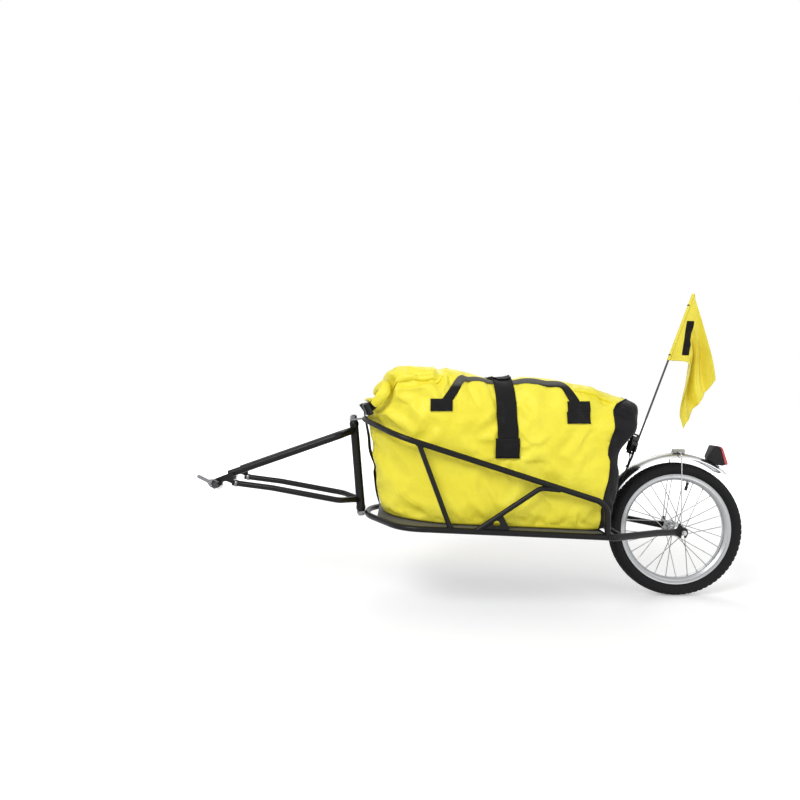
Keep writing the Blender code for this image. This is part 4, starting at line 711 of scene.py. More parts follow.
def fork_and_hitch():
    """Fork arms, head tube with its bushes, hook plates, and what the skewer carries."""
    for side, sign in SIDES:
        for label, route, radius, y in (("upper", UPPER_ARM, ARM_RADII[0], ARM_Y[0]),
                                        ("lower", LOWER_ARM, ARM_RADII[1], ARM_Y[1])):
            inner = [((x, y, z), ARM_BEND_R if x > 0.2 else 4 * ARM_BEND_R) for x, z in route[1:-1]]
            end_x, end_z = route[-1]
            path = rounded_path([((route[0][0], y, route[0][1]), 0)] + inner + [((end_x, 0, end_z), 0)])
            arm = Shape().tube(mirrored(path[:-1] + [path[-1].lerp(path[-2], 0.12)], sign), radius)
            node = "fork_%s_arm_%s" % (label, side)
            join(arm.piece(node + "_tube", BLACK_PAINT), "fork", "black_paint", node)
    low, high = HEAD_ENDS
    wall = [(HEAD_R - 0.0008, high), (HEAD_R, high - 0.0008), (HEAD_R + 0.0012, high - 0.004),
            (HEAD_R + 0.0012, high - 0.012), (HEAD_R, high - 0.014), (HEAD_R, low + 0.014),
            (HEAD_R + 0.0012, low + 0.012), (HEAD_R + 0.0012, low + 0.004), (HEAD_R, low + 0.0008),
            (HEAD_R - 0.0008, low), (0.0092, low), (0.0092, high)]
    head = Shape().lathe(wall, STEER_FOOT, STEER_AXIS)
    join(head.piece("head_tube_turned", BLACK_PAINT), "fork", "black_paint", "head_tube")
    pairs = []
    for _, sign in SIDES:
        for route, radius, y in ((UPPER_ARM, ARM_RADII[0], ARM_Y[0]), (LOWER_ARM, ARM_RADII[1], ARM_Y[1])):
            (x0, z0), (x1, z1) = route[-2:]
            start = Vector((x0, y * sign, z0))
            run = Vector((x1, 0, z1)) - start
            pairs.append(((start, run, radius), (STEER_FOOT, STEER_AXIS, HEAD_R)))
    weld("head_welds", pairs, "fork")
    for side, _ in SIDES:
        polished("hook_plate_" + side, BLACK_PAINT, "fork", "black_paint", 0.0006)
        polished("latch_" + side, ZINC, "latch_blade_" + side, "zinc", 0.0003)
        polished("bobbin_" + side, BLACKENED, "skewer", "steel", 0.0004)
    for label in ("upper", "lower"):
        polished("bush_" + label, BLACK_PLASTIC, "fork", "black_plastic", 0.0003)
        polished(label + "_bracket", GREY_PAINT, "frame", "grey_paint", 0.0006)
    for node, material, finish_slot in (("hitch_skewer", STEEL, "steel"), ("skewer_nut", BLACKENED, "steel"),
                                        ("skewer_cam", BLACKENED, "aluminium")):
        polished(node, material, "skewer", finish_slot, 0.0005)
    polished("skewer_lever", DARK_STEEL, "lever", "steel", 0.0008, 3)
    polished("pivot_pin", DARK_STEEL, "frame", "zinc", 0.0005)
    polished("pivot_nut", DARK_STEEL, "frame", "zinc", 0.0005)


def frame_tubes():
    """Hoops, struts, rear arms, cross tube and bridge as smooth tubes, with the welds between them."""
    shoulder = UPPER_NOSE[0] + SHOULDER_X
    upper = rounded_path([
        ((UPPER_NOSE[0], 0, UPPER_NOSE[1]), 0),
        ((UPPER_NOSE[0], NOSE_HALF, UPPER_NOSE[1]), NOSE_BEND_R),
        ((shoulder, FRAME_HALF, upper_z(shoulder)), SHOULDER_BEND_R),
        ((UPRIGHT_X, FRAME_HALF, upper_z(UPRIGHT_X)), UPRIGHT_BEND_R),
        ((UPRIGHT_X, FRAME_HALF, lower_z(UPRIGHT_X) + 0.003), 0)])
    shoulder = LOWER_NOSE[0] + SHOULDER_X
    lower = rounded_path([
        ((LOWER_NOSE[0], 0, LOWER_NOSE[1]), 0),
        ((LOWER_NOSE[0], NOSE_HALF, LOWER_NOSE[1]), NOSE_BEND_R),
        ((shoulder, FRAME_HALF, lower_z(shoulder)), SHOULDER_BEND_R),
        ((RAIL_END_X, FRAME_HALF, lower_z(RAIL_END_X)), 0)])
    arm = rounded_path([
        ((RAIL_END_X, FRAME_HALF, lower_z(RAIL_END_X)), 0),
        ((ARM_SHOULDER_X, FRAME_HALF, lower_z(ARM_SHOULDER_X)), ARM_SHOULDER_R),
        (ARM_KNEE, ARM_KNEE_R),
        (ARM_END, 0)])
    under = (UPPER_RAIL_R + STRUT_R) * math.hypot(1, UPPER_SLOPE)
    foot, bend, end = REAR_STRUT_X
    rear = rounded_path([
        ((foot, FRAME_HALF, lower_z(foot)), 0),
        ((bend, FRAME_HALF, upper_z(bend) - under), REAR_STRUT_BEND_R),
        ((end, FRAME_HALF, upper_z(end) - under * 0.25), 0)])
    front = [Vector((FRONT_STRUT_X[0], FRAME_HALF, upper_z(FRONT_STRUT_X[0]))),
             Vector((FRONT_STRUT_X[1], FRAME_HALF, lower_z(FRONT_STRUT_X[1])))]
    pairs = []
    for side, sign in SIDES:
        for label, path, radius in (("upper_rail", upper, UPPER_RAIL_R), ("lower_rail", lower, LOWER_RAIL_R),
                                    ("rear_arm", arm, ARM_R), ("rear_strut", rear, STRUT_R),
                                    ("front_strut", front, STRUT_R)):
            tube = Shape().tube(mirrored(path, sign), radius)
            join(tube.piece("%s_%s_tube" % (label, side), BLACK_PAINT), "frame", "black_paint",
                 "%s_%s" % (label, side))
        top, low = mirrored(front, sign)
        rail_run = Vector((1, 0, -UPPER_SLOPE))
        floor_run = Vector((1, 0, -LOWER_SLOPE))
        middle = (top + low) / 2
        pairs.append(((middle, top - low, STRUT_R), (top, rail_run, UPPER_RAIL_R)))
        pairs.append(((middle, low - top, STRUT_R), (low, floor_run, LOWER_RAIL_R)))
        strut = mirrored(rear, sign)
        pairs.append(((strut[1], strut[0] - strut[1], STRUT_R), (strut[0], floor_run, LOWER_RAIL_R)))
        upright = Vector((UPRIGHT_X, FRAME_HALF * sign, 0))
        pairs.append(((upright, -UP, UPPER_RAIL_R),
                      (Vector((UPRIGHT_X, FRAME_HALF * sign, lower_z(UPRIGHT_X))), floor_run, LOWER_RAIL_R)))
        cross = Vector((CROSS_X, 0, lower_z(CROSS_X)))
        pairs.append(((cross, ACROSS * sign, CROSS_R),
                      (Vector((UPRIGHT_X, FRAME_HALF * sign, lower_z(UPRIGHT_X))), floor_run, LOWER_RAIL_R)))
        polished("gusset_" + side, BLACK_PAINT, "frame", "black_paint", 0.0005)
        polished("dropout_" + side, BLACK_PAINT, "frame", "black_paint", 0.0006)
        polished("axle_nut_" + side, ZINC, "frame", "zinc", 0.0005)
    weld("frame_welds", pairs, "frame")
    ends = [(CROSS_X, -FRAME_HALF, lower_z(CROSS_X)), (CROSS_X, FRAME_HALF, lower_z(CROSS_X))]
    cross = Shape().tube(ends, CROSS_R)
    join(cross.piece("rear_cross_tube_bar", BLACK_PAINT), "frame", "black_paint", "rear_cross_tube")
    polished("fender_bridge", BLACK_PAINT, "frame", "black_paint", 0.0003)
    polished("tray_floor", DARK_SHEET, "frame", "dark_sheet", 0.0003)


class Repeat(Nodes):
    """Geometry Nodes tree that repeats a shape, with its inputs named and set before its first use."""

    def __init__(self, name, inputs):
        super().__init__(bpy.data.node_groups.new(name, 'GeometryNodeTree'))
        face = self.tree.interface
        face.new_socket("Geometry", in_out='OUTPUT', socket_type='NodeSocketGeometry')
        for label, kind in [("Geometry", "Geometry")] + inputs + [("Material", "Material")]:
            face.new_socket(label, in_out='INPUT', socket_type='NodeSocket' + kind)
        self.entry = self.tree.nodes.new('NodeGroupInput')

    def given(self, label):
        return Value(self, self.entry.outputs[label])

    def close(self, geometry):
        """End the tree in plain geometry with its material."""
        real = self.node('GeometryNodeRealizeInstances', {}, {0: geometry})
        painted = self.node('GeometryNodeSetMaterial', {}, {
            "Geometry": real, "Material": self.given("Material")})
        self.tree.links.new(painted.socket, self.tree.nodes.new('NodeGroupOutput').inputs[0])
        return self

    def bake(self, obj, name, material, **values):
        """Plain mesh that the tree makes of an object; the object itself goes."""
        run = obj.modifiers.new("repeat", 'NODES')
        run.node_group = self.tree
        wanted = dict(values, Material=material)
        for item in self.tree.interface.items_tree:
            if item.in_out == 'INPUT' and item.name in wanted:
                run[item.identifier] = wanted[item.name]
        data = bpy.data.meshes.new_from_object(obj.evaluated_get(bpy.context.evaluated_depsgraph_get()))
        made = new_object(name, data)
        bpy.data.objects.remove(obj)
        return made


def round_the_axle():
    """Tree: copies of a shape about the Y axis, moved to the wheel's centre."""
    tree = Repeat("round_the_axle", [("Count", "Int"), ("Step", "Float"), ("Centre", "Vector")])
    spots = tree.node('GeometryNodePoints', {}, {"Count": tree.given("Count")})
    turn = tree.given("Step") * tree.node('GeometryNodeInputIndex')
    copies = tree.node('GeometryNodeInstanceOnPoints', {}, {
        "Points": spots, "Instance": tree.given("Geometry"),
        "Rotation": tree.node('ShaderNodeCombineXYZ', {}, {1: turn})})
    real = tree.node('GeometryNodeRealizeInstances', {}, {0: copies})
    return tree.close(tree.node('GeometryNodeSetPosition', {}, {
        "Geometry": real, "Offset": tree.given("Centre")}))


def along_a_line():
    """Tree: stitches along a line that carries the normal of the surface it lies on."""
    tree = Repeat("along_a_line", [("Spacing", "Float"), ("Size", "Vector")])
    line = tree.node('GeometryNodeResampleCurve', {"mode": 'LENGTH'}, {
        "Curve": tree.node('GeometryNodeMeshToCurve', {}, {0: tree.given("Geometry")}),
        "Length": tree.given("Spacing")})
    stitch = tree.node('GeometryNodeMeshUVSphere', {}, {"Segments": 8, "Rings": 4, "Radius": 0.5})
    out = tree.node('GeometryNodeInputNamedAttribute', {"data_type": 'FLOAT_VECTOR'}, {"Name": "out"})
    lie = tree.node('FunctionNodeAxesToRotation', {"primary_axis": 'Z', "secondary_axis": 'X'}, {
        "Primary Axis": out, "Secondary Axis": tree.node('GeometryNodeInputTangent')})
    return tree.close(tree.node('GeometryNodeInstanceOnPoints', {}, {
        "Points": line, "Instance": stitch, "Rotation": lie, "Scale": tree.given("Size")}))


ROUND_THE_AXLE = round_the_axle()
ALONG_A_LINE = along_a_line()


def stitches(name, lines, material, body, finish_slot, spacing=0.0032, size=(0.0022, 0.0007, 0.0006)):
    """Sewing thread along lines of (point, normal) pairs."""
    data = bpy.data.meshes.new(name)
    points, edges, normals = [], [], []
    for line in lines:
        edges += [(len(points) + i, len(points) + i + 1) for i in range(len(line) - 1)]
        points += [point for point, _ in line]
        normals += [normal for _, normal in line]
    data.from_pydata(points, edges, [])
    out = data.attributes.new("out", 'FLOAT_VECTOR', 'POINT')
    out.data.foreach_set("vector", [part for normal in normals for part in normal])
    holder = new_object(name + "_line", data)
    made = ALONG_A_LINE.bake(holder, name, material, Spacing=spacing, Size=size)
    return join(made, body, finish_slot)


def from_axle(angle, radius, y=0.0):
    """Point about the wheel's axle, at this angle above the level line behind it."""
    return WHEEL + Vector((radius * math.cos(angle), y, radius * math.sin(angle)))


# Sections of the wheel's pieces as (radius, Y), and the tyre's tread blocks
HUB_SIDE = [(0.0105, 0.0310), (0.0120, 0.0292), (0.0178, 0.0276), (0.0192, 0.0271), (0.0195, 0.0260),
            (0.0192, 0.0249), (0.0178, 0.0244), (0.0125, 0.0234), (0.0103, 0.0200), (0.0096, 0.0120)]
RIM_SIDE = [(RIM_R, 0.0108), (RIM_R, 0.0119), (0.1575, 0.0125), (0.1567, 0.0125), (0.1562, 0.0121),
            (0.1490, 0.0121), (0.1484, 0.0125), (0.1476, 0.0123), (0.1462, 0.0112), (0.1418, 0.0075),
            (0.1405, 0.0058), (0.1400, 0.0036)]
NIPPLE = ((0.0125, 0.0014), (0.0120, 0.0018), (0.0035, 0.0018), (0.0030, 0.0024), (0, 0.0024))
VALVE_STEM = [(0.0001, -0.0260), (0.0034, -0.0260), (0.0040, -0.0250), (0.0040, -0.0135), (0.0032, -0.0130),
              (0.0032, -0.0100), (0.0038, -0.0095), (0.0038, 0.0060), (0.0001, 0.0060)]
VALVE_NUT = [(0.0039, -0.0022), (0.0058, -0.0020), (0.0058, -0.0002), (0.0039, 0)]
TREADS = 72
TREAD_BLOCKS = (((0, 2), (3.9, 2), (5.0, 17), (1.1, 17)), ((1.4, 20), (4.6, 20), (3.9, 36), (0.7, 36)),
                ((0.6, 39), (3.6, 39), (3.6, 57), (0.6, 57)))


def wheel():
    """Hub, laced spokes with nipples, box rim, tyre with its tread, and valve."""
    half = size_of("hub").y / 2
    outer = [(0.0088, half), (0.0100, half - 0.0005), (0.0105, half - 0.0020)] + HUB_SIDE
    hub = Shape().lathe(both_sides(outer) + [(HUB_BORE_R, -half), (HUB_BORE_R, half)], WHEEL, ACROSS, 72)
    join(hub.piece("hub_turned", ALUMINIUM), "wheel", "aluminium", "hub")

    step = math.tau / SPOKES
    wires, nipples = Shape(), Shape()
    for number in range(4):
        flange = 1 if number % 2 else -1
        lean = 1 if number < 2 else -1
        at_rim = VALVE_ANGLE + step * (number + 0.5)
        at_hub = at_rim + lean * SPOKE_CROSSING
        hole = Vector((0.0165 * math.cos(at_hub), 0, 0.0165 * math.sin(at_hub)))
        out = Vector((math.cos(at_rim), 0, math.sin(at_rim)))
        elbow_y = flange * (0.026 + lean * 0.0024)
        head_y = flange * (0.026 - lean * 0.0024)
        rim_end = out * (RIM_INNER_R + 0.001) + ACROSS * flange * 0.0015
        elbow = hole + ACROSS * elbow_y
        head = hole + ACROSS * head_y
        wires.tube([head, head.lerp(elbow, 0.12)], [0.0021, 0.0012], 10)
        wires.tube(rounded_path([(head, 0), (elbow, 0.0014), (rim_end, 0)], math.radians(15)), 0.00122, 8)
        run = (rim_end - elbow).normalized()
        nipples.tube([rim_end - run * back for back, _ in NIPPLE], [radius for _, radius in NIPPLE], 10)
    for name, shape, material, finish_slot in (("spokes", wires, WIRE, "steel"),
                                               ("nipples", nipples, ZINC, "zinc")):
        unit = shape.piece(name + "_unit", material)
        made = ROUND_THE_AXLE.bake(unit, name, material, Count=7, Step=4 * step, Centre=WHEEL)
        join(made, "wheel", finish_slot)

    rim = Shape().lathe(both_sides(RIM_SIDE), WHEEL, ACROSS, 160)
    join(rim.piece("rim_rolled", ALUMINIUM, 50), "wheel", "aluminium", "rim")

    seat = RIM_R + 0.0003
    tall = (TYRE_R - seat) / 2
    middle = seat + tall
    base = tall - 0.0013

    def carcass(angle, lift=0.0):
        """Radius and Y of the tyre's section, at this angle from its crown."""
        turn = math.radians(angle)
        height = base + lift + 0.0013 * clamp((abs(angle) - 58) / 6)
        return middle + height * math.cos(turn), (TYRE_HALF + lift - 0.0009) * math.sin(turn)

    section = [carcass(angle) for angle in range(-132, 133, 4)]
    for angle in (84, 112):
        for sign in (-1, 1):
            index = (132 + sign * angle) // 4
            radius, y = section[index]
            section[index] = (radius, y + sign * 0.0006)
    tyre = Shape().lathe(section + [(seat, 0.0119), (seat, -0.0119)], WHEEL, ACROSS, 180)
    join(tyre.piece("tyre_moulded", RUBBER, 70), "wheel", "tyre", "tyre")

    def block(shape, corners):
        """Tread block over four (turn in degrees, angle across) corners."""
        turn_mid = sum(turn for turn, _ in corners) / 4
        angle_mid = sum(angle for _, angle in corners) / 4
        rows = []
        for lift, spread in ((-0.0004, 1.0), (0.0011, 0.97), (0.0013, 0.86)):
            row = []
            for turn, angle in corners:
                radius, y = carcass(angle_mid + (angle - angle_mid) * spread, lift)
                where = math.radians(turn_mid + (turn - turn_mid) * spread)
                row.append(Vector((radius * math.cos(where), y, radius * math.sin(where))))
            rows.append(row)
        made = shape.grid(rows, False, True)
        shape.cap(made[-1])
        shape.cap(list(reversed(made[0])))

    pitch = 360 / TREADS
    unit = Shape()
    for sign in (-1, 1):
        shift = pitch / 2 if sign > 0 else 0
        for corners in TREAD_BLOCKS:
            block(unit, [(shift + turn, sign * angle) for turn, angle in corners])
    treads = ROUND_THE_AXLE.bake(unit.piece("tread_unit", RUBBER, 20), "tread", RUBBER,
                                 Count=TREADS, Step=math.radians(pitch), Centre=WHEEL)
    join(treads, "wheel", "tyre")

    out = Vector((math.cos(VALVE_ANGLE), 0, math.sin(VALVE_ANGLE)))
    valve = Shape().lathe(VALVE_STEM, from_axle(VALVE_ANGLE, RIM_INNER_R), out, 24)
    join(valve.piece("valve", BLACK_PLASTIC), "wheel", "tyre")
    nut = Shape().lathe(VALVE_NUT, from_axle(VALVE_ANGLE, RIM_INNER_R), out, 6)
    join(nut.piece("valve_nut", ZINC), "wheel", "zinc")
    polished("wheel_axle", STEEL, "frame", "steel", 0.0003)


def fender():
    """Chrome fender with rolled edges, and its stay and bolt."""
    start, end = FENDER_ANGLES
    shell = Shape()
    rows = []
    steps = 110
    bead = 0.0017
    for index in range(steps + 1):
        angle = start + (end - start) * index / steps
        reach = min(angle - start, end - angle) * FENDER_R
        half = FENDER_HALF * (1 - 0.30 * max(0.0, 1 - reach / 0.018) ** 2)
        side = []
        for step in range(13):
            y = (half - bead) * step / 12
            side.append((FENDER_R - FENDER_DROP * (y / FENDER_HALF) ** 2, y))
        edge_radius, edge_y = side[-1]
        for turn in range(60, -241, -30):
            side.append((edge_radius - bead * 0.7 + bead * math.sin(math.radians(turn)),
                         edge_y + bead * math.cos(math.radians(turn)) * 0.98))
        side += [(radius - 0.0011, y) for radius, y in reversed(side[:12])]
        rows.append([from_axle(angle, radius, y) for radius, y in both_sides(side)])
    made = shell.grid(rows, closed_across=True, uv=lambda i, j: (j, i), flip=True)
    shell.cap(made[0])
    shell.cap(list(reversed(made[-1])))
    join(shell.piece("fender_shell", CHROME, 60), "frame", "chrome", "fender")

    eyelet_x = WHEEL.x - 0.0063
    eyelet_z = WHEEL.z + 0.0205
    over = from_axle(math.radians(88.29), FENDER_R) + UP * 0.003
    corners = [((eyelet_x, 0.0494, eyelet_z), 0), ((eyelet_x, 0.0580, eyelet_z), 0.0032),
               ((over.x, 0.0335, over.z), 0.014)]
    route = rounded_path(corners + [((x, -y, z), radius) for (x, y, z), radius in reversed(corners)])
    join(Shape().tube(route, 0.0016, 12).piece("fender_stay_wire", STEEL), "frame", "chrome", "fender_stay")
    polished("fender_bolt", ZINC, "frame", "zinc", 0.0005)


POLE_LEAN = math.radians(20.8)
POLE_AXIS = Vector((math.sin(POLE_LEAN), 0, math.cos(POLE_LEAN)))
POLE_R = 0.003
POLE_TOP = Vector((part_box("flag_pole")[1][0] - POLE_R * math.cos(POLE_LEAN), middle_of("flag_pole").y,
                   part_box("flag_pole")[1][2] - POLE_R * math.sin(POLE_LEAN)))
HOIST = 0.2225
FLAG_FLY = 0.278                # as long as the two edges below, read from the photograph
FLAG_BILLOW = 0.046
FLAG_FOLDS = ((0.0190, 2.6, 0.5, 0.1), (0.0048, 6.2, 1.4, 0.0))    # depth, waves down, waves along, start
FLAG_THREAD = webbing("flag_thread", (0.55, 0.42, 0.02), 0.0008)
FLAG_TOP_EDGE = ((0.0000, 0.0000), (0.0228, -0.0700), (0.0456, -0.1459), (0.0618, -0.2065), (0.0742, -0.2680))
FLAG_BOTTOM_EDGE = ((-0.0790, -0.2080), (-0.0131, -0.2196), (-0.0228, -0.2858), (-0.0440, -0.3700),
                    (-0.0303, -0.4242))
TIE_PLACES = (0.0392, 0.2050)   # down the pole
TIE_SECTION = [(0.0001, 0.0035), (0.0022, 0.0031), (0.0042, 0.0018), (0.0050, 0), (0.0042, -0.0018),
               (0.0022, -0.0031), (0.0001, -0.0035)]
FLAG_PATCH_CORNERS = ((-0.0205, -0.0850), (0.0040, -0.0850), (-0.0110, -0.1920), (-0.0357, -0.1920))


def surface_of(obj):
    """Tree for rays onto an object, with its modifiers."""
    return BVHTree.FromObject(obj, bpy.context.evaluated_depsgraph_get())


def flag():
    """Hung flag with its sleeve, folds and hem, a bare black strip and two ties, on its pole."""
    polished("flag_pole", FIBREGLASS, "flag_and_pole", "pole", 0.0008, 3)
    polished("flag_holder", BLACK_PAINT, "frame", "black_paint", 0.0005)
    tops = smooth_path([(x, 0, z) for x, z in FLAG_TOP_EDGE], 16)
    bottoms = smooth_path([(x, 0, z) for x, z in FLAG_BOTTOM_EDGE], 16)
    columns, rows_down = len(tops) - 1, 56
    cloth = Shape()
    rows = []
    for column, (upper, lower) in enumerate(zip(tops, bottoms)):
        u = column / columns
        row = []
        for step in range(rows_down + 1):
            v = step / rows_down
            flat = upper.lerp(lower, v)
            loose = math.sin(math.pi / 2 * min(1.0, u * 1.6)) ** 2
            inside = math.sin(math.pi * v) * loose * (1 - 0.55 * u ** 4)
            depth = FLAG_BILLOW * inside
            for stand, down, along, start in FLAG_FOLDS:
                depth += stand * inside * math.sin(math.tau * (down * v - along * u + start))
            depth += 0.0035 * inside * noise.noise(Vector((u * 5, v * 6, 3.7)))
            depth += 0.0022 * loose * math.sin(math.tau * (1.5 * v + 0.2))
            on_pole = max(0.0, 1 - u * columns / 4)
            round_off = 0.004 * u ** 8 * (1 - 2 * v) ** 4
            row.append(POLE_TOP + flat + ACROSS * depth + BACK * (0.0042 * on_pole - round_off))
        rows.append(row)
    cloth.grid(rows, uv=lambda i, j: (i / columns * FLAG_FLY, j / rows_down * HOIST))
    hems = [[(row[step] - ACROSS * 0.0007, -ACROSS) for row in rows[4:-2]] for step in (3, rows_down - 3)]
    sheet = cloth.piece("flag_sheet", FLAG_CLOTH, 70, thickness=0.0006)
    sleeve = Shape()
    spots = [POLE_TOP - POLE_AXIS * (HOIST * step / 30) for step in range(31)]
    girths = [0.0043 + 0.0004 * noise.noise(Vector((0, 0, step * 0.45))) for step in range(31)]
    girths[0] = 0.0036
    sleeve.tube(spots, girths, 20)
    join(sleeve.piece("flag_sleeve", FLAG_CLOTH, 70), "flag_and_pole", "yellow_cloth")
    join(sheet, "flag_and_pole", "yellow_cloth", "flag")
    surface = surface_of(sheet)

    def on_cloth(x, z, sign, lift):
        start = POLE_TOP + Vector((x, sign, z))
        spot = surface.ray_cast(start, ACROSS * -sign)[0]
        return spot + ACROSS * sign * lift

    a, b, c, d = (Vector((x, z)) for x, z in FLAG_PATCH_CORNERS)
    for label, sign in SIDES:
        patch = Shape()
        rows = []
        for step in range(25):
            left, right = a.lerp(d, step / 24), b.lerp(c, step / 24)
            rows.append([on_cloth(*left.lerp(right, part / 6), sign, 0.0006) for part in range(7)])
        patch.grid(rows, uv=lambda i, j: (j * 0.004, i * 0.0045))
        made = patch.piece("flag_strip_" + label, FLAG_PATCH, 70, thickness=0.0004)
        join(made, "flag_and_pole", "webbing")
    for index, down in enumerate(TIE_PLACES):
        tie = Shape().lathe(TIE_SECTION, POLE_TOP - POLE_AXIS * down - BACK * 0.0010, POLE_AXIS, 24)
        made = tie.piece("flag_tie_%d" % (index + 1), BLACK_PLASTIC)
        join(made, "flag_and_pole", "black_plastic")
    stitches("flag_hem", hems, FLAG_THREAD, "flag_and_pole", "yellow_cloth", 0.0030,
                           (0.0020, 0.0005, 0.0004))


# Bag: height share, front X, rear X and half width of its sections, and its top line
BAG_SECTIONS = ((0.000, 0.466, 1.050, 0.157), (0.030, 0.452, 1.060, 0.168), (0.200, 0.442, 1.077, 0.174),
                (0.400, 0.431, 1.092, 0.177), (0.500, 0.427, 1.088, 0.179), (0.620, 0.423, 1.099, 0.180),
                (0.740, 0.420, 1.136, 0.178), (0.840, 0.416, 1.144, 0.171), (0.930, 0.411, 1.146, 0.150),
                (0.980, 0.406, 1.141, 0.116), (1.000, 0.402, 1.126, 0.064))
BAG_TOP = ((0.392, 0.222), (0.430, 0.255), (0.462, 0.299), (0.487, 0.3225), (0.527, 0.3260), (0.579, 0.3230),
           (0.624, 0.3165), (0.657, 0.3105), (0.690, 0.300), (0.720, 0.2910), (0.757, 0.287), (0.800, 0.288),
           (0.850, 0.2905), (0.907, 0.2875), (0.960, 0.2800), (1.006, 0.2705), (1.043, 0.2590),
           (1.070, 0.2470), (1.095, 0.2365), (1.125, 0.2330), (1.145, 0.2290), (1.170, 0.205))
SEAM_POINTS = ((1.031, -0.025), (1.071, 0.2287))
STRAP_X = (0.757, 0.809)
STRAP_MIDDLE = (STRAP_X[0] + STRAP_X[1]) / 2
STRAP_LOW_Z = 0.082
FRONT_LENGTHS = (0.200, 0.125)  # of the bag's rounded front, low down and high up
REAR_LENGTH = 0.078
REAR_POWER = 0.5                # 1 is a round back, less is squarer
REAR_BELT_Y = 0.075
GIRTH_ROW = 40                  # the level whose girth the cloth's UV follows
TOP_LINE = smooth_path([(x, 0, z) for x, z in BAG_TOP], 10)


def bag_top_z(x):
    for before, after in zip(TOP_LINE, TOP_LINE[1:]):
        if x <= after.x:
            return before.z + (after.z - before.z) * max(0.0, x - before.x) / (after.x - before.x)
    return TOP_LINE[-1].z


def swell(value, low, high):
    """0 outside a band, rising smoothly to 1 in its middle."""
    if not low < value < high:
        return 0.0
    return math.sin(math.pi * (value - low) / (high - low)) ** 2


def bag_relief(point):
    """How far the cloth stands out of the smooth form here."""
    soft = noise.noise(point * 8.0) * 0.0050
    fold = noise.noise(Vector((point.x * 17 + point.z * 5, point.y * 6, point.z * 4.5 - point.x * 3)))
    where = max(0.0, noise.noise(point * 5.0 + Vector((4, 1, 7))) + 0.28)
    crease = -max(0.0, 1 - abs(fold) / 0.16) * 0.0048 * where
    ripple = noise.noise(Vector((point.x * 40, point.y * 26, point.z * 20))) * 0.0012
    pinch = 0.0
    if point.z > STRAP_LOW_Z - 0.01:
        distance = abs(point.x - STRAP_MIDDLE)
        pinch = -0.0036 * max(0.0, 1 - (distance / 0.042) ** 2) ** 1.5 + 0.0028 * swell(distance, 0.030, 0.11)
    seat = -0.95 * max(0.0, 0.034 - ROLL_TREE.find(point)[2])
    return soft + crease + ripple + pinch + crease_relief(point) + seat


def bag_form():
    """Closed loft of the bag with its folds, with its own UV in metres."""
    shape = Shape()
    table = smooth_path([row[:3] for row in BAG_SECTIONS], 9)
    halves = [point.x for point in smooth_path([(row[3], 0, 0) for row in BAG_SECTIONS], 9)]
    levels = [(table[0], halves[0] * part) for part in (0.0, 0.35, 0.7)]
    levels += list(zip(table, halves))
    levels += [(table[-1], halves[-1] * part) for part in (0.66, 0.33, 0.0)]
    rows = []
    for (share, front, rear), half in levels:
        right = []
        nose = FRONT_LENGTHS[0] + (FRONT_LENGTHS[1] - FRONT_LENGTHS[0]) * clamp((share - 0.55) / 0.4)
        for step in range(48):
            turn = math.pi / 2 * step / 48
            right.append((front + nose * (1 - math.cos(turn)), half * math.sin(turn)))
        begin, stop = front + nose, rear - REAR_LENGTH
        right += [(begin + (stop - begin) * step / 150, half) for step in range(150)]
        for step in range(25):
            turn = math.pi / 2 * step / 24
            right.append((stop + REAR_LENGTH * math.sin(turn) ** REAR_POWER,
                          half * max(0.0, math.cos(turn)) ** REAR_POWER))
        row = []
        for x, y in right + [(x, -y) for x, y in reversed(right[1:-1])]:
            y *= 1 + 0.25 * clamp((share - 0.86) / 0.12) * clamp((x - 1.060) / 0.035)
            floor = lower_z(x) + FLOOR_TOP + 0.0003 + 0.0016 * clamp((x - 0.985) / 0.03)
            row.append(Vector((x, y, floor + clamp(share) * (bag_top_z(x) - floor))))
        rows.append(row)
    girth = distances(rows[GIRTH_ROW] + rows[GIRTH_ROW][:1])
    shape.grid(rows, closed_across=True, uv=lambda i, j: (girth[j], i * 0.0052))
    bmesh.ops.remove_doubles(shape.mesh, verts=shape.mesh.verts, dist=1e-5)
    bmesh.ops.recalc_face_normals(shape.mesh, faces=shape.mesh.faces)
    shape.mesh.normal_update()
    moves = [(vert, vert.normal.copy()) for vert in shape.mesh.verts]
    for vert, normal in moves:
        rest = clamp((vert.co.z - lower_z(vert.co.x) - FLOOR_TOP) / 0.02)
        vert.co += normal * bag_relief(vert.co) * rest
    return shape


def tape(name, anchors, width, material, skin, lift=0.0018, across=4, thickness=0.0015):
    """Webbing on the bag: (point, way out, way across) anchors cast onto its skin. Gives its edges too."""
    made = Shape()
    rows, normals = [], []
    lifts = lift if isinstance(lift, list) else [lift] * len(anchors)
    for (point, out, sideways), off in zip(anchors, lifts):
        row, row_normals = [], []
        out = Vector(out)
        for step in range(across + 1):
            start = Vector(point) + Vector(sideways) * width * (step / across - 0.5)
            spot, normal = skin.ray_cast(start + out, -out)[:2]
            row.append(spot + normal * off)
            row_normals.append(normal)
        rows.append(row)
        normals.append(row_normals)
    for _ in range(3):
        rows = [rows[0]] + [[(a + b * 2 + c) / 4 for a, b, c in zip(before, row, after)]
                            for before, row, after in zip(rows, rows[1:], rows[2:])] + [rows[-1]]
    lengths = distances([row[0] for row in rows])
    made.grid(rows, uv=lambda i, j: (j / across * width, lengths[i]))
    edges = []
    for inner, outer in ((0, 1), (-1, -2)):
        edges.append([(row[inner].lerp(row[outer], 0.45), normal[inner])
                      for row, normal in zip(rows, normals)])
    return made.piece(name, material, 60, thickness=thickness), edges


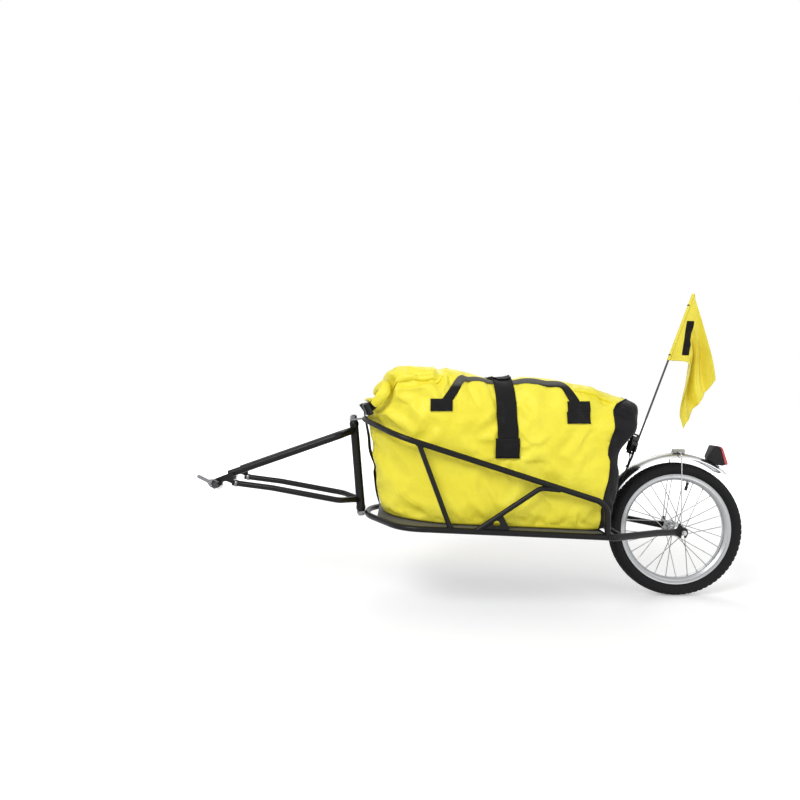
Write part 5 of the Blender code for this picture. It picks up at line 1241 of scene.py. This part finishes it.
def bag():
    """Packed bag: yellow body and black end panel with piping, its roll closure, handles and straps."""
    for index, point in enumerate(ROLL_LINE):
        ROLL_TREE.insert(point, index)
    ROLL_TREE.balance()
    form = bag_form()
    settle(form)
    (x0, z0), (x1, z1) = SEAM_POINTS
    seam_point = Vector((x0, 0, z0))
    seam_normal = Vector((z1 - z0, 0, x0 - x1)).normalized()
    whole = form.mesh
    skin = BVHTree.FromBMesh(whole)
    for vert in whole.verts:
        vert.co.x -= seam_stray(vert.co)
    cut = bmesh.ops.bisect_plane(whole, geom=whole.verts[:] + whole.edges[:] + whole.faces[:], dist=1e-6,
                                 plane_co=seam_point, plane_no=seam_normal)["geom_cut"]
    whole.faces.index_update()
    rear = {face.index for face in whole.faces
            if (face.calc_center_median() - seam_point).dot(seam_normal) > 0}
    for vert in whole.verts:
        vert.co.x += seam_stray(vert.co)
    loop = ordered(edge for edge in cut if isinstance(edge, bmesh.types.BMEdge))
    piping = Shape().tube(loop[::2], 0.0024, 10, True)
    join(piping.piece("bag_piping", BLACK_COATED, 70), "bag", "black_coated")
    for name, material, behind in (("bag_body", YELLOW_COATED, False), ("bag_end_panel", BLACK_COATED, True)):
        part = Shape()
        part.mesh.free()
        part.mesh = whole.copy()
        part.uv = part.mesh.loops.layers.uv["UVMap"]
        part.mesh.faces.ensure_lookup_table()
        gone = [part.mesh.faces[index] for index in range(len(part.mesh.faces)) if (index in rear) != behind]
        bmesh.ops.delete(part.mesh, geom=gone, context='FACES')
        obj = part.piece(name + "_cloth", material, 80, thickness=0.0012)
        join(obj, "bag", "black_coated" if behind else "yellow_coated", name)
    whole.free()
    sewing = handles(skin) + straps(skin)
    stitches("bag_sewing", sewing, THREAD, "bag", "webbing")
    folds(skin)
    roll_closure()
    front_tabs()


def ordered(edges):
    """Points of a closed loop of edges, in order."""
    links = {}
    for edge in edges:
        a, b = edge.verts
        links.setdefault(a, []).append(b)
        links.setdefault(b, []).append(a)
    first = next(iter(links))
    path, last, here = [first], None, first
    while True:
        following = [vert for vert in links[here] if vert is not last]
        if not following or following[0] is first or len(path) > len(links):
            return [vert.co.copy() for vert in path]
        last, here = here, following[0]
        path.append(here)


COLLAR_SECTION = [(0.0081, 0), (0.0092, 0.0004), (0.0096, 0.0012), (0.0096, 0.0072), (0.0092, 0.0080),
                  (0.0081, 0.0084)]
SCREW_SECTION = [(0.0001, 0.0030), (0.0030, 0.0027), (0.0040, 0.0016), (0.0044, -0.0006), (0.0001, -0.0006)]


def collars():
    """Ferrule at the front of each lower fork arm."""
    for side, sign in SIDES:
        (x0, z0), (x1, z1) = LOWER_ARM[:2]
        run = Vector((x1 - x0, 0, z1 - z0)).normalized()
        start = Vector((x0, ARM_Y[1] * sign, z0)) + run * 0.0065
        ring = Shape().lathe(COLLAR_SECTION, start, run, 48)
        join(ring.piece("arm_collar_" + side, DARK_STEEL), "fork", "zinc")


def clip():
    """Clip that holds the stay on the fender's crown, with the head of its screw."""
    polished("fender_clip", DULL_ZINC, "frame", "steel", 0.0026, 4)
    low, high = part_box("fender_clip")
    head = Shape().lathe(SCREW_SECTION, ((low[0] + high[0]) / 2, 0, high[2] - 0.0012), UP, 32)
    join(head.piece("clip_screw", ZINC), "frame", "zinc")


# Tail light: outlines as X and Z from its seat on the fender, half widths there, and its layers in Y
LIGHT_OUTLINE = ((-0.0150, 0.0085), (-0.0168, 0.0190), (0.0006, 0.0496), (0.0030, 0.0503), (0.0090, 0.0503),
                 (0.0134, 0.0435), (0.0240, 0.0000), (0.0256, -0.0046), (0.0200, -0.0062), (0.0, -0.0032))
LIGHT_HALVES = (0.0100, 0.0105, 0.0190, 0.0215, 0.0238, 0.0245, 0.0250, 0.0246, 0.0236, 0.0165)
LENS_OUTLINE = ((0.0094, 0.0495), (0.0158, 0.0490), (0.0208, 0.0430), (0.0342, 0.0000), (0.0338, -0.0040),
                (0.0262, -0.0042), (0.0248, 0.0000), (0.0142, 0.0433))
LENS_HALVES = (0.0232, 0.0228, 0.0236, 0.0240, 0.0234, 0.0238, 0.0244, 0.0240)
LIGHT_LAYERS = ((-1.0, 0.93), (-0.93, 0.985), (-0.80, 1.0), (0.80, 1.0), (0.93, 0.985), (1.0, 0.93))


def tail_light():
    """Housing that narrows forwards, and the thick red lens across its back."""
    seat = from_axle(math.radians(60.07), FENDER_R)

    def body(points, halves):
        shape = Shape()
        rows = []
        for share, inset in LIGHT_LAYERS:
            middle = Vector((sum(x for x, _ in points), sum(z for _, z in points))) / len(points)
            rows.append([seat + Vector((middle.x + (x - middle.x) * inset, half * share,
                                        middle.y + (z - middle.y) * inset))
                         for (x, z), half in zip(points, halves)])
        made = shape.grid(rows, closed_across=True)
        shape.cap(list(reversed(made[0])))
        shape.cap(made[-1])
        return shape

    housing = body(LIGHT_OUTLINE, LIGHT_HALVES).piece("light_body", BLACK_PLASTIC, 30, bevel=0.0010)
    join(housing, "frame", "black_plastic", "light_housing")
    lens = body(LENS_OUTLINE, LENS_HALVES).piece("light_glass", RED_LENS, 30, bevel=0.0007)
    join(lens, "frame", "red_lens", "light_lens")
    ribs = Shape()
    for step in range(5):
        low = seat + Vector((0.0335 - 0.0024 * step, 0, 0.0035 + 0.0082 * step))
        ribs.tube([low - ACROSS * 0.0195, low + ACROSS * 0.0195], 0.0008, 8)
    join(ribs.piece("light_ribs", RED_LENS), "frame", "red_lens")
    foot = Shape()
    place = Matrix.Translation(seat + Vector((0.006, 0, -0.0035))) @ Matrix.Rotation(math.radians(30), 4, 'Y')
    foot.block(place, (0.030, 0.016, 0.0035))
    join(foot.piece("light_foot", DARK_STEEL, bevel=0.0006), "frame", "steel")


# Creases of each side: start and end as X and Z, width and depth
CREASES = {
    -1: (((0.480, 0.2820), (0.603, 0.2825), 0.010, 0.0100),
        ((0.985, 0.2520), (1.055, 0.2330), 0.008, 0.0095),
        ((0.812, 0.1920), (0.856, 0.1460), 0.012, 0.0065),
        ((0.722, 0.1500), (0.757, 0.1840), 0.011, 0.0060),
        ((0.452, 0.1050), (0.505, 0.0250), 0.016, 0.0070),
        ((0.470, -0.0150), (0.540, -0.0650), 0.014, 0.0055),
        ((0.692, 0.1500), (0.745, 0.0780), 0.018, 0.0070),
        ((0.528, 0.2620), (0.585, 0.2200), 0.018, 0.0075),
        ((0.606, 0.1990), (0.560, 0.1180), 0.013, 0.0060),
        ((1.012, 0.2000), (1.004, 0.0500), 0.022, 0.0060),
        ((0.860, 0.0600), (0.935, -0.0300), 0.017, 0.0055),
        ((0.640, 0.0300), (0.700, -0.0700), 0.017, 0.0060),
        ((0.968, 0.1650), (0.930, 0.1100), 0.012, 0.0050),
        ((0.480, 0.2250), (0.540, 0.1700), 0.014, 0.0060),
        ((0.612, 0.3150), (0.606, 0.2750), 0.009, 0.0070),
        ((0.730, 0.0550), (0.775, -0.0150), 0.014, 0.0050)),
    1: (((0.490, 0.2860), (0.610, 0.2820), 0.010, 0.0095),
        ((0.975, 0.2500), (1.050, 0.2320), 0.008, 0.0090),
        ((0.835, 0.1800), (0.880, 0.1300), 0.013, 0.0060),
        ((0.640, 0.1200), (0.700, 0.0400), 0.017, 0.0065),
        ((0.480, 0.1500), (0.540, 0.0500), 0.017, 0.0065),
        ((0.900, 0.0400), (0.960, -0.0600), 0.017, 0.0060),
        ((1.010, 0.1900), (1.000, 0.0700), 0.020, 0.0060),
        ((0.545, 0.2600), (0.600, 0.2100), 0.017, 0.0070)),
}


def crease_relief(point):
    """Grooves with soft lips beside them, along the creases of this side."""
    total = 0.0
    here = Vector((point.x, point.z))
    for side, creases in CREASES.items():
        if side * point.y < 0:
            continue
        for start, end, width, depth in creases:
            a, b = Vector(start), Vector(end)
            share = clamp((here - a).dot(b - a) / (b - a).length_squared)
            distance = (here - a.lerp(b, share)).length / width
            if distance < 4:
                fade = 0.35 + 0.65 * math.sin(math.pi * (0.15 + 0.7 * share))
                lips = 0.55 * math.exp(-(distance - 2.0) ** 2 * 1.6)
                total += fade * depth * (lips - math.exp(-distance ** 2))
    return total


def belt(name, points, y, width, material, twist=0.0, thickness=0.0016):
    """Free-hanging webbing along a line in X and Z, its width along Y or twisted out of it."""
    line = smooth_path([(x, y, z) for x, z in points], 6)
    lengths = distances(line)
    made = Shape()
    rows = []
    for index, point in enumerate(line):
        run = heading(line, index)
        turn = twist * math.sin(math.pi * index / (len(line) - 1))
        wide = ACROSS * math.cos(turn) + run.cross(ACROSS) * math.sin(turn)
        rows.append([point + wide * width * (part / 4 - 0.5) for part in range(5)])
    made.grid(rows, uv=lambda i, j: (j / 4 * width, lengths[i]))
    return made.piece(name, material, 60, thickness=thickness)


# Blocks of a buckle as X, Y, Z and size; what lies off its middle is there on both sides
BUCKLE_BLOCKS = ((0.006, 0, 0, (0.024, 0.032, 0.0105)), (-0.0150, 0, 0, (0.010, 0.032, 0.0090)),
                 (-0.0075, 0.0122, 0, (0.010, 0.0045, 0.0070)), (-0.0075, 0, 0, (0.008, 0.008, 0.0050)),
                 (0.0230, 0, 0, (0.0045, 0.032, 0.0050)), (0.0200, 0.0145, 0, (0.010, 0.003, 0.0050)),
                 (-0.0245, 0, 0, (0.0045, 0.032, 0.0050)), (-0.0215, 0.0145, 0, (0.010, 0.003, 0.0050)),
                 (0.006, 0, 0.0055, (0.012, 0.018, 0.0014)))


def buckle(name, place, *nodes):
    """Side-release buckle: socket, prongs and the bars that the webbing turns round."""
    made = Shape()
    for x, y, z, size in BUCKLE_BLOCKS:
        for side in (1, -1) if y else (1,):
            made.block(place @ Matrix.Translation((x, y * side, z)), size)
    return join(made.piece(name, BLACK_PLASTIC, 30, bevel=0.0010), "bag", "black_plastic", *nodes)


def roll_closure():
    """Mouth of the bag rolled up: its layers wind inwards, and both ends come down to the front buckle."""
    roll = Shape()
    rows = []
    turns, layer, steps = 2.3, 0.0036, 96
    count = len(ROLL_LINE) - 1
    spread = [abs(2 * index / count - 1) for index in range(count + 1)]
    frames = []
    for index, point in enumerate(ROLL_LINE):
        run = heading(ROLL_LINE, index)
        blend = clamp((spread[index] - 0.25) / 0.40)
        wide = Vector((0.61, 0, 0.79)).lerp(Vector((-0.80, 0, 0.60)), blend)
        wide = (wide - run * wide.dot(run)).normalized()
        frames.append((point, wide, run.cross(wide), 1 - 0.26 * max(0.0, spread[index] - 0.55) / 0.45))
    for step in range(steps + 1):
        turn = math.tau * turns * step / steps
        inwards = layer * turns * step / steps
        row = []
        for index, (point, wide, thin, size) in enumerate(frames):
            wrinkle = 0.0022 * noise.noise(Vector((turn * 0.7, index * 0.35, 1.3)))
            wrinkle += 0.0010 * noise.noise(Vector((turn * 1.5, index * 0.9, 8)))
            row.append(point + wide * math.cos(turn + 0.6) * (size * 0.0185 - inwards + wrinkle)
                       + thin * math.sin(turn + 0.6) * (size * 0.0125 - inwards * 0.82 + wrinkle))
        rows.append(row)
    roll.grid(rows, uv=lambda i, j: (i * 0.003, j * 0.005))
    cloth = roll.piece("roll_closure_cloth", YELLOW_COATED, 80, thickness=0.0024)
    join(cloth, "bag", "yellow_coated", "roll_closure")


# Handle's route as X, lean (0 upright to 1) and Z, and its patches as X, Z, width and height
HANDLE_ROUTE = [(0.611, 0.0, 0.213), (0.626, 0.0, 0.231), (0.646, 0.2, 0.252), (0.664, 0.6, 0.269),
                (0.684, 1.0, 0.277), (0.740, 1.0, 0.2790), (0.800, 0.95, 0.2790), (0.850, 0.65, 0.2740),
                (0.900, 0.5, 0.2700), (0.930, 0.4, 0.2665), (0.9415, 0.2, 0.2590), (0.950, 0.0, 0.2430),
                (0.9585, 0.0, 0.2230), (0.966, 0.0, 0.202)]
HANDLE_LEAN = math.radians(48)
HANDLE_PATCHES = ((0.611, 0.2185, 0.057, 0.032), (0.967, 0.2135, 0.059, 0.026),
                  (0.965, 0.1855, 0.061, 0.0305))


def handles(skin):
    """Grab handle on each side: webbing along the shoulder between sewn patches."""
    sewing = []
    for side, sign in SIDES:
        route = smooth_path(HANDLE_ROUTE, 8)
        anchors = []
        for (x, tilt, z), (ahead_x, _, ahead_z) in zip(route, route[1:]):
            run = Vector((ahead_x - x, 0, ahead_z - z)).normalized()
            lean = HANDLE_LEAN * clamp(tilt)
            out = Vector((0, sign * math.cos(lean), math.sin(lean)))
            anchors.append(((x, sign * 0.12, z), out, run.cross(out)))
        # The handle's webbing carries a painted sheen on its top.
        handle, edges = tape("handle_web_" + side, anchors, 0.024, SHEEN_PAINTED_WEBBING, skin, 0.0026)
        join(handle, "bag", "webbing", "bag_handle_" + side)
        sewing += edges
        for index, (x, z, wide, tall) in enumerate(HANDLE_PATCHES):
            anchors = [((x + wide * (step / 12 - 0.5), 0, z), (0, sign, 0), (0, 0, 1)) for step in range(13)]
            name = "handle_patch_%s_%d" % (side, index + 1)
            patch, edges = tape(name, anchors, tall, WEBBING, skin, 0.0034, 8)
            join(patch, "bag", "webbing")
            sewing += edges
    return sewing


# Belts as X and Z, from their buckles down
REAR_BELT_LOW = ((1.141, 0.108), (1.138, 0.085), (1.136, 0.066), (1.129, 0.041), (1.119, 0.018),
                 (1.100, -0.030), (1.088, -0.060))
REAR_BELT_TAIL = ((1.150, 0.106), (1.149, 0.085), (1.140, 0.062), (1.129, 0.046))
FRONT_BELT_HANGING = [(0.4020, 0.200), (0.4050, 0.178), (0.4095, 0.155), (0.4150, 0.126), (0.4190, 0.0855)]
FRONT_BELT_LYING_Z = (0.045, 0.025, 0.005, -0.015, -0.040, -0.065)


def straps(skin):
    """Centre strap with its sewn ends, and the belts and buckles at the bag's front and back."""
    sewing = []
    middle = STRAP_MIDDLE
    low = math.atan2(0.179, STRAP_LOW_Z - 0.10)
    for name, reach, width, base, shift in (("bag_strap_web", low, STRAP_X[1] - STRAP_X[0], 0.0042, 0.008),
                                            ("handle_wrap", 0.52, 0.050, 0.0085, 0.008)):
        anchors, lifts = [], []
        for step in range(121):
            turn = -reach + 2 * reach * step / 120
            lifts.append(base + 0.0095 * max(0.0, 1 - abs(turn) / 0.75))
            x = middle - 0.006 + shift * (turn / low) ** 2 + 0.012 * max(0.0, 1 - abs(turn) / 0.6)
            anchors.append(((x, 0, 0.10), (0, math.sin(turn), math.cos(turn)), (1, 0, 0)))
        strap, edges = tape(name, anchors, width, WEBBING, skin, lifts, 6)
        join(strap, "bag", "webbing", *(["bag_strap"] if reach == low else []))
        sewing += edges
    for side, sign in SIDES:
        anchors = [((middle - 0.002 + 0.062 * (step / 12 - 0.5), 0, 0.107), (0, sign, 0), (0, 0, 1))
                   for step in range(13)]
        patch, edges = tape("strap_patch_" + side, anchors, 0.052, WEBBING, skin, 0.0056, 8)
        join(patch, "bag", "webbing")
        sewing += edges
        y = sign * REAR_BELT_Y
        anchors = []
        for step in range(31):
            turn = math.radians(72 - 72 * step / 30)
            anchors.append(((1.075, y, 0.125), (math.cos(turn), 0, math.sin(turn)), (0, 1, 0)))
        upper, edges = tape("rear_belt_" + side, anchors, 0.025, WEBBING, skin, 0.0022)
        join(upper, "bag", "webbing")
        sewing += edges
        lower = belt("rear_belt_low_" + side, REAR_BELT_LOW, y, 0.030, WEBBING, math.radians(28))
        join(lower, "bag", "webbing")
        tail = belt("rear_belt_tail_" + side, REAR_BELT_TAIL, y, 0.025, WEBBING, math.radians(25))
        join(tail, "bag", "webbing")
        place = Matrix.Translation((1.1450, y, 0.110)) @ Matrix.Rotation(math.radians(106), 4, 'Y') @ \
            Matrix.Rotation(math.radians(52), 4, 'X')
        buckle("rear_buckle_" + side, place @ Matrix.Diagonal((1.1, 1.0, 1.3, 1)))
    place = Matrix.Translation((0.4005, 0, 0.2060)) @ Matrix.Rotation(math.pi / 2, 4, 'Z') @ \
        Matrix.Rotation(math.radians(55), 4, 'X')
    buckle("front_buckle", place, "bag_buckle")
    lying = [(skin.ray_cast(Vector((0.36, 0, z)), Vector((1, 0, 0)))[0].x - 0.0024, z)
             for z in FRONT_BELT_LYING_Z]
    front = belt("front_belt", FRONT_BELT_HANGING + lying, 0.0, 0.025, WEBBING, math.radians(14))
    join(front, "bag", "webbing")
    return sewing


SEAM_STRAY = ((-0.13, 0.004), (-0.079, 0.005), (-0.030, 0.000), (0.000, 0.001), (0.0375, 0.006),
              (0.070, 0.003), (0.094, -0.007), (0.114, -0.008), (0.155, -0.002), (0.193, -0.006),
              (0.230, -0.002), (0.330, 0.0))


def seam_stray(point):
    """How far behind its straight line the panel's seam lies here: wavy on the sides, further back on top."""
    height = point.z if point.y < 0 else point.z + 0.04
    reach = min(1.0, abs(point.y) / 0.13)
    crown = 0.056 * max(0.0, 1 - (point.y / 0.160) ** 4) * clamp((point.z - 0.190) / 0.036)
    for (low, x0), (high, x1) in zip(SEAM_STRAY, SEAM_STRAY[1:]):
        if height <= high:
            share = max(0.0, (height - low) / (high - low))
            return crown + reach * (x0 + (x1 - x0) * share * share * (3 - 2 * share))
    return crown


ROLL_RUN = ((0.4400, 0.000, 0.2580), (0.4440, 0.060, 0.2620), (0.4550, 0.105, 0.2690),
            (0.4665, 0.133, 0.2660), (0.4590, 0.141, 0.2490), (0.4450, 0.135, 0.2310),
            (0.4360, 0.126, 0.2210))
ROLL_LINE = smooth_path([(x, -y, z) for x, y, z in reversed(ROLL_RUN)] + list(ROLL_RUN[1:]), 7)
ROLL_TREE = KDTree(len(ROLL_LINE))


FRONT_TAB = ((0.4370, 0.127, 0.2220), (0.4190, 0.108, 0.2090), (0.4080, 0.070, 0.2065),
             (0.4015, 0.026, 0.2060))


def front_tabs():
    """Webbing tab with its slider from each end of the roll to the front buckle."""
    lean = Vector((-0.42, 0, 0.91))
    for side, sign in SIDES:
        line = smooth_path([(x, sign * y, z) for x, y, z in FRONT_TAB], 8)
        tab = Shape()
        tab.grid([[point + lean * 0.025 * (part / 4 - 0.5) for part in range(5)] for point in line],
                 uv=lambda i, j: (j * 0.006, i * 0.004))
        join(tab.piece("front_tab_" + side, WEBBING, 60, thickness=0.0018), "bag", "webbing")
        slider = Shape()
        spin = Matrix.Rotation(math.radians(-22 * sign), 4, 'Z')
        place = Matrix.Translation((0.4170, sign * 0.1060, 0.2070)) @ spin @ \
            Matrix.Rotation(math.radians(-25), 4, 'Y')
        for centre, size in (((0, 0, 0), (0.0120, 0.030, 0.034)), ((-0.0070, 0, 0), (0.0050, 0.014, 0.030)),
                             ((0, 0.0180 * sign, 0), (0.0080, 0.008, 0.031))):
            slider.block(place @ Matrix.Translation(centre), size)
        join(slider.piece("front_slider_" + side, BLACK_PLASTIC, 30, bevel=0.0012), "bag", "black_plastic")


FOLD_SECTION = ((0.00, -0.0006), (0.30, 0.0030), (0.58, 0.0062), (0.80, 0.0072), (0.94, 0.0056),
                (1.00, 0.0014), (0.90, -0.0010))
FOLDS = ((-1, ((0.470, 0.2890), (0.500, 0.2850), (0.545, 0.2835), (0.585, 0.2845), (0.612, 0.2900)),
          0.022, 1.25),
         (-1, ((0.966, 0.2580), (0.995, 0.2540), (1.025, 0.2460), (1.052, 0.2365), (1.064, 0.2330)),
          0.017, 1.1),
         (1, ((0.480, 0.2900), (0.520, 0.2860), (0.570, 0.2840), (0.620, 0.2880)), 0.021, 1.15),
         (1, ((0.958, 0.2600), (0.990, 0.2560), (1.025, 0.2470), (1.058, 0.2350)), 0.017, 1.0),
         (-1, ((0.618, 0.3040), (0.614, 0.2930), (0.606, 0.2800), (0.592, 0.2700)), 0.012, 0.7))


def folds(skin):
    """Tucks of the bag's cloth that hang over their own shadow."""
    tucks = Shape()
    for side, line, width, size in FOLDS:
        spots = smooth_path([(x, 0, z) for x, z in line], 9)
        rows = []
        for index, spot in enumerate(spots):
            share = index / (len(spots) - 1)
            taper = max(0.02, math.sin(math.pi * share)) ** 0.55
            run = heading(spots, index)
            up = Vector((-run.z, 0, run.x))
            up = up if up.z > 0 else -up
            row = []
            for across, stand in FOLD_SECTION:
                start = spot + up * width * (1 - across) * (0.35 + 0.65 * taper)
                lean = Vector((0, side * 0.80, 0.60))
                hit, normal = skin.ray_cast(Vector((start.x, side * 0.153, start.z)) + lean, -lean)[:2]
                ripple = 1 + 0.35 * noise.noise(Vector((share * 4, side * 3, across)))
                row.append(hit + normal * stand * size * taper * ripple)
            rows.append(row)
        tucks.grid(rows, uv=lambda i, j: (i * 0.004, j * 0.004))
    join(tucks.piece("bag_tucks", YELLOW_COATED, 80, thickness=0.0009), "bag", "yellow_coated")


# Cloth simulation of the bag
SETTLE_VOXEL = 0.009
SETTLE_FRAMES = 20
SETTLE_INSET = 0.006
SETTLE_MOST = 0.010
SETTLE_WIDE = 0.045             # wider swelling is left out: the outline is the photograph's
SETTLE_KEPT = 0.012             # held above the tray, beside the strap and round the roll
SETTLE_STRAP = 0.018
SETTLE_ROLL = 0.040


def settle(shape):
    """Cloth simulation of the bag on a coarse copy; how its points move is given to the fine mesh."""
    data = bpy.data.meshes.new("settling")
    shape.mesh.to_mesh(data)
    coarse = new_object("settling", data)
    scene = bpy.context.scene
    voxels = coarse.modifiers.new("voxels", 'REMESH')
    voxels.mode = 'VOXEL'
    voxels.voxel_size = SETTLE_VOXEL
    coarse.data = bpy.data.meshes.new_from_object(coarse.evaluated_get(bpy.context.evaluated_depsgraph_get()))
    coarse.modifiers.clear()
    before = [vert.co.copy() for vert in coarse.data.vertices]
    inwards = [vert.normal * SETTLE_INSET for vert in coarse.data.vertices]
    for vert, inset in zip(coarse.data.vertices, inwards):
        vert.co -= inset
    held = coarse.vertex_groups.new(name="held")
    for index, spot in enumerate(before):
        low = spot.z - lower_z(spot.x) - FLOOR_TOP < SETTLE_KEPT
        strapped = abs(spot.x - STRAP_MIDDLE) < SETTLE_STRAP and spot.z > STRAP_LOW_Z
        rolled = ROLL_TREE.find(spot)[2] < SETTLE_ROLL
        if low or strapped or rolled:
            held.add([index], 1.0, 'REPLACE')
    cloth = coarse.modifiers.new("cloth", 'CLOTH')
    fabric = cloth.settings
    fabric.quality = 6
    fabric.mass = 0.25
    fabric.tension_stiffness = 18
    fabric.compression_stiffness = 18
    fabric.shear_stiffness = 6
    fabric.bending_stiffness = 0.20
    fabric.shrink_min = -0.050
    fabric.use_pressure = True
    fabric.uniform_pressure_force = 0.9
    fabric.vertex_group_mass = held.name
    fabric.effector_weights.gravity = 0
    cloth.collision_settings.use_collision = False
    cloth.point_cache.frame_start = 1
    cloth.point_cache.frame_end = SETTLE_FRAMES
    for step in range(1, SETTLE_FRAMES + 1):
        scene.frame_set(step)
    settled = coarse.evaluated_get(bpy.context.evaluated_depsgraph_get()).data
    moves = [vert.co - spot for vert, spot in zip(settled.vertices, before)]
    scene.frame_set(1)
    tree = KDTree(len(before))
    for index, spot in enumerate(before):
        tree.insert(spot, index)
    tree.balance()
    swelling = []
    for spot in before:
        near = [index for _, index, _ in tree.find_range(spot, SETTLE_WIDE)]
        swelling.append(sum((moves[index] for index in near), Vector()) / len(near))
    moves = [move - wide for move, wide in zip(moves, swelling)]
    moves = [move if move.length < SETTLE_MOST else move.normalized() * SETTLE_MOST for move in moves]
    bpy.data.objects.remove(coarse)
    for vert in shape.mesh.verts:
        total, weights = Vector(), 0.0
        for _, index, distance in tree.find_n(vert.co, 5):
            weight = 1 / (distance + 0.002) ** 2
            total += moves[index] * weight
            weights += weight
        rest = clamp((vert.co.z - lower_z(vert.co.x) - FLOOR_TOP) / 0.02)
        vert.co += total / weights * rest


camera()
studio()
fork_and_hitch()
collars()
frame_tubes()
wheel()
fender()
clip()
tail_light()
flag()
bag()
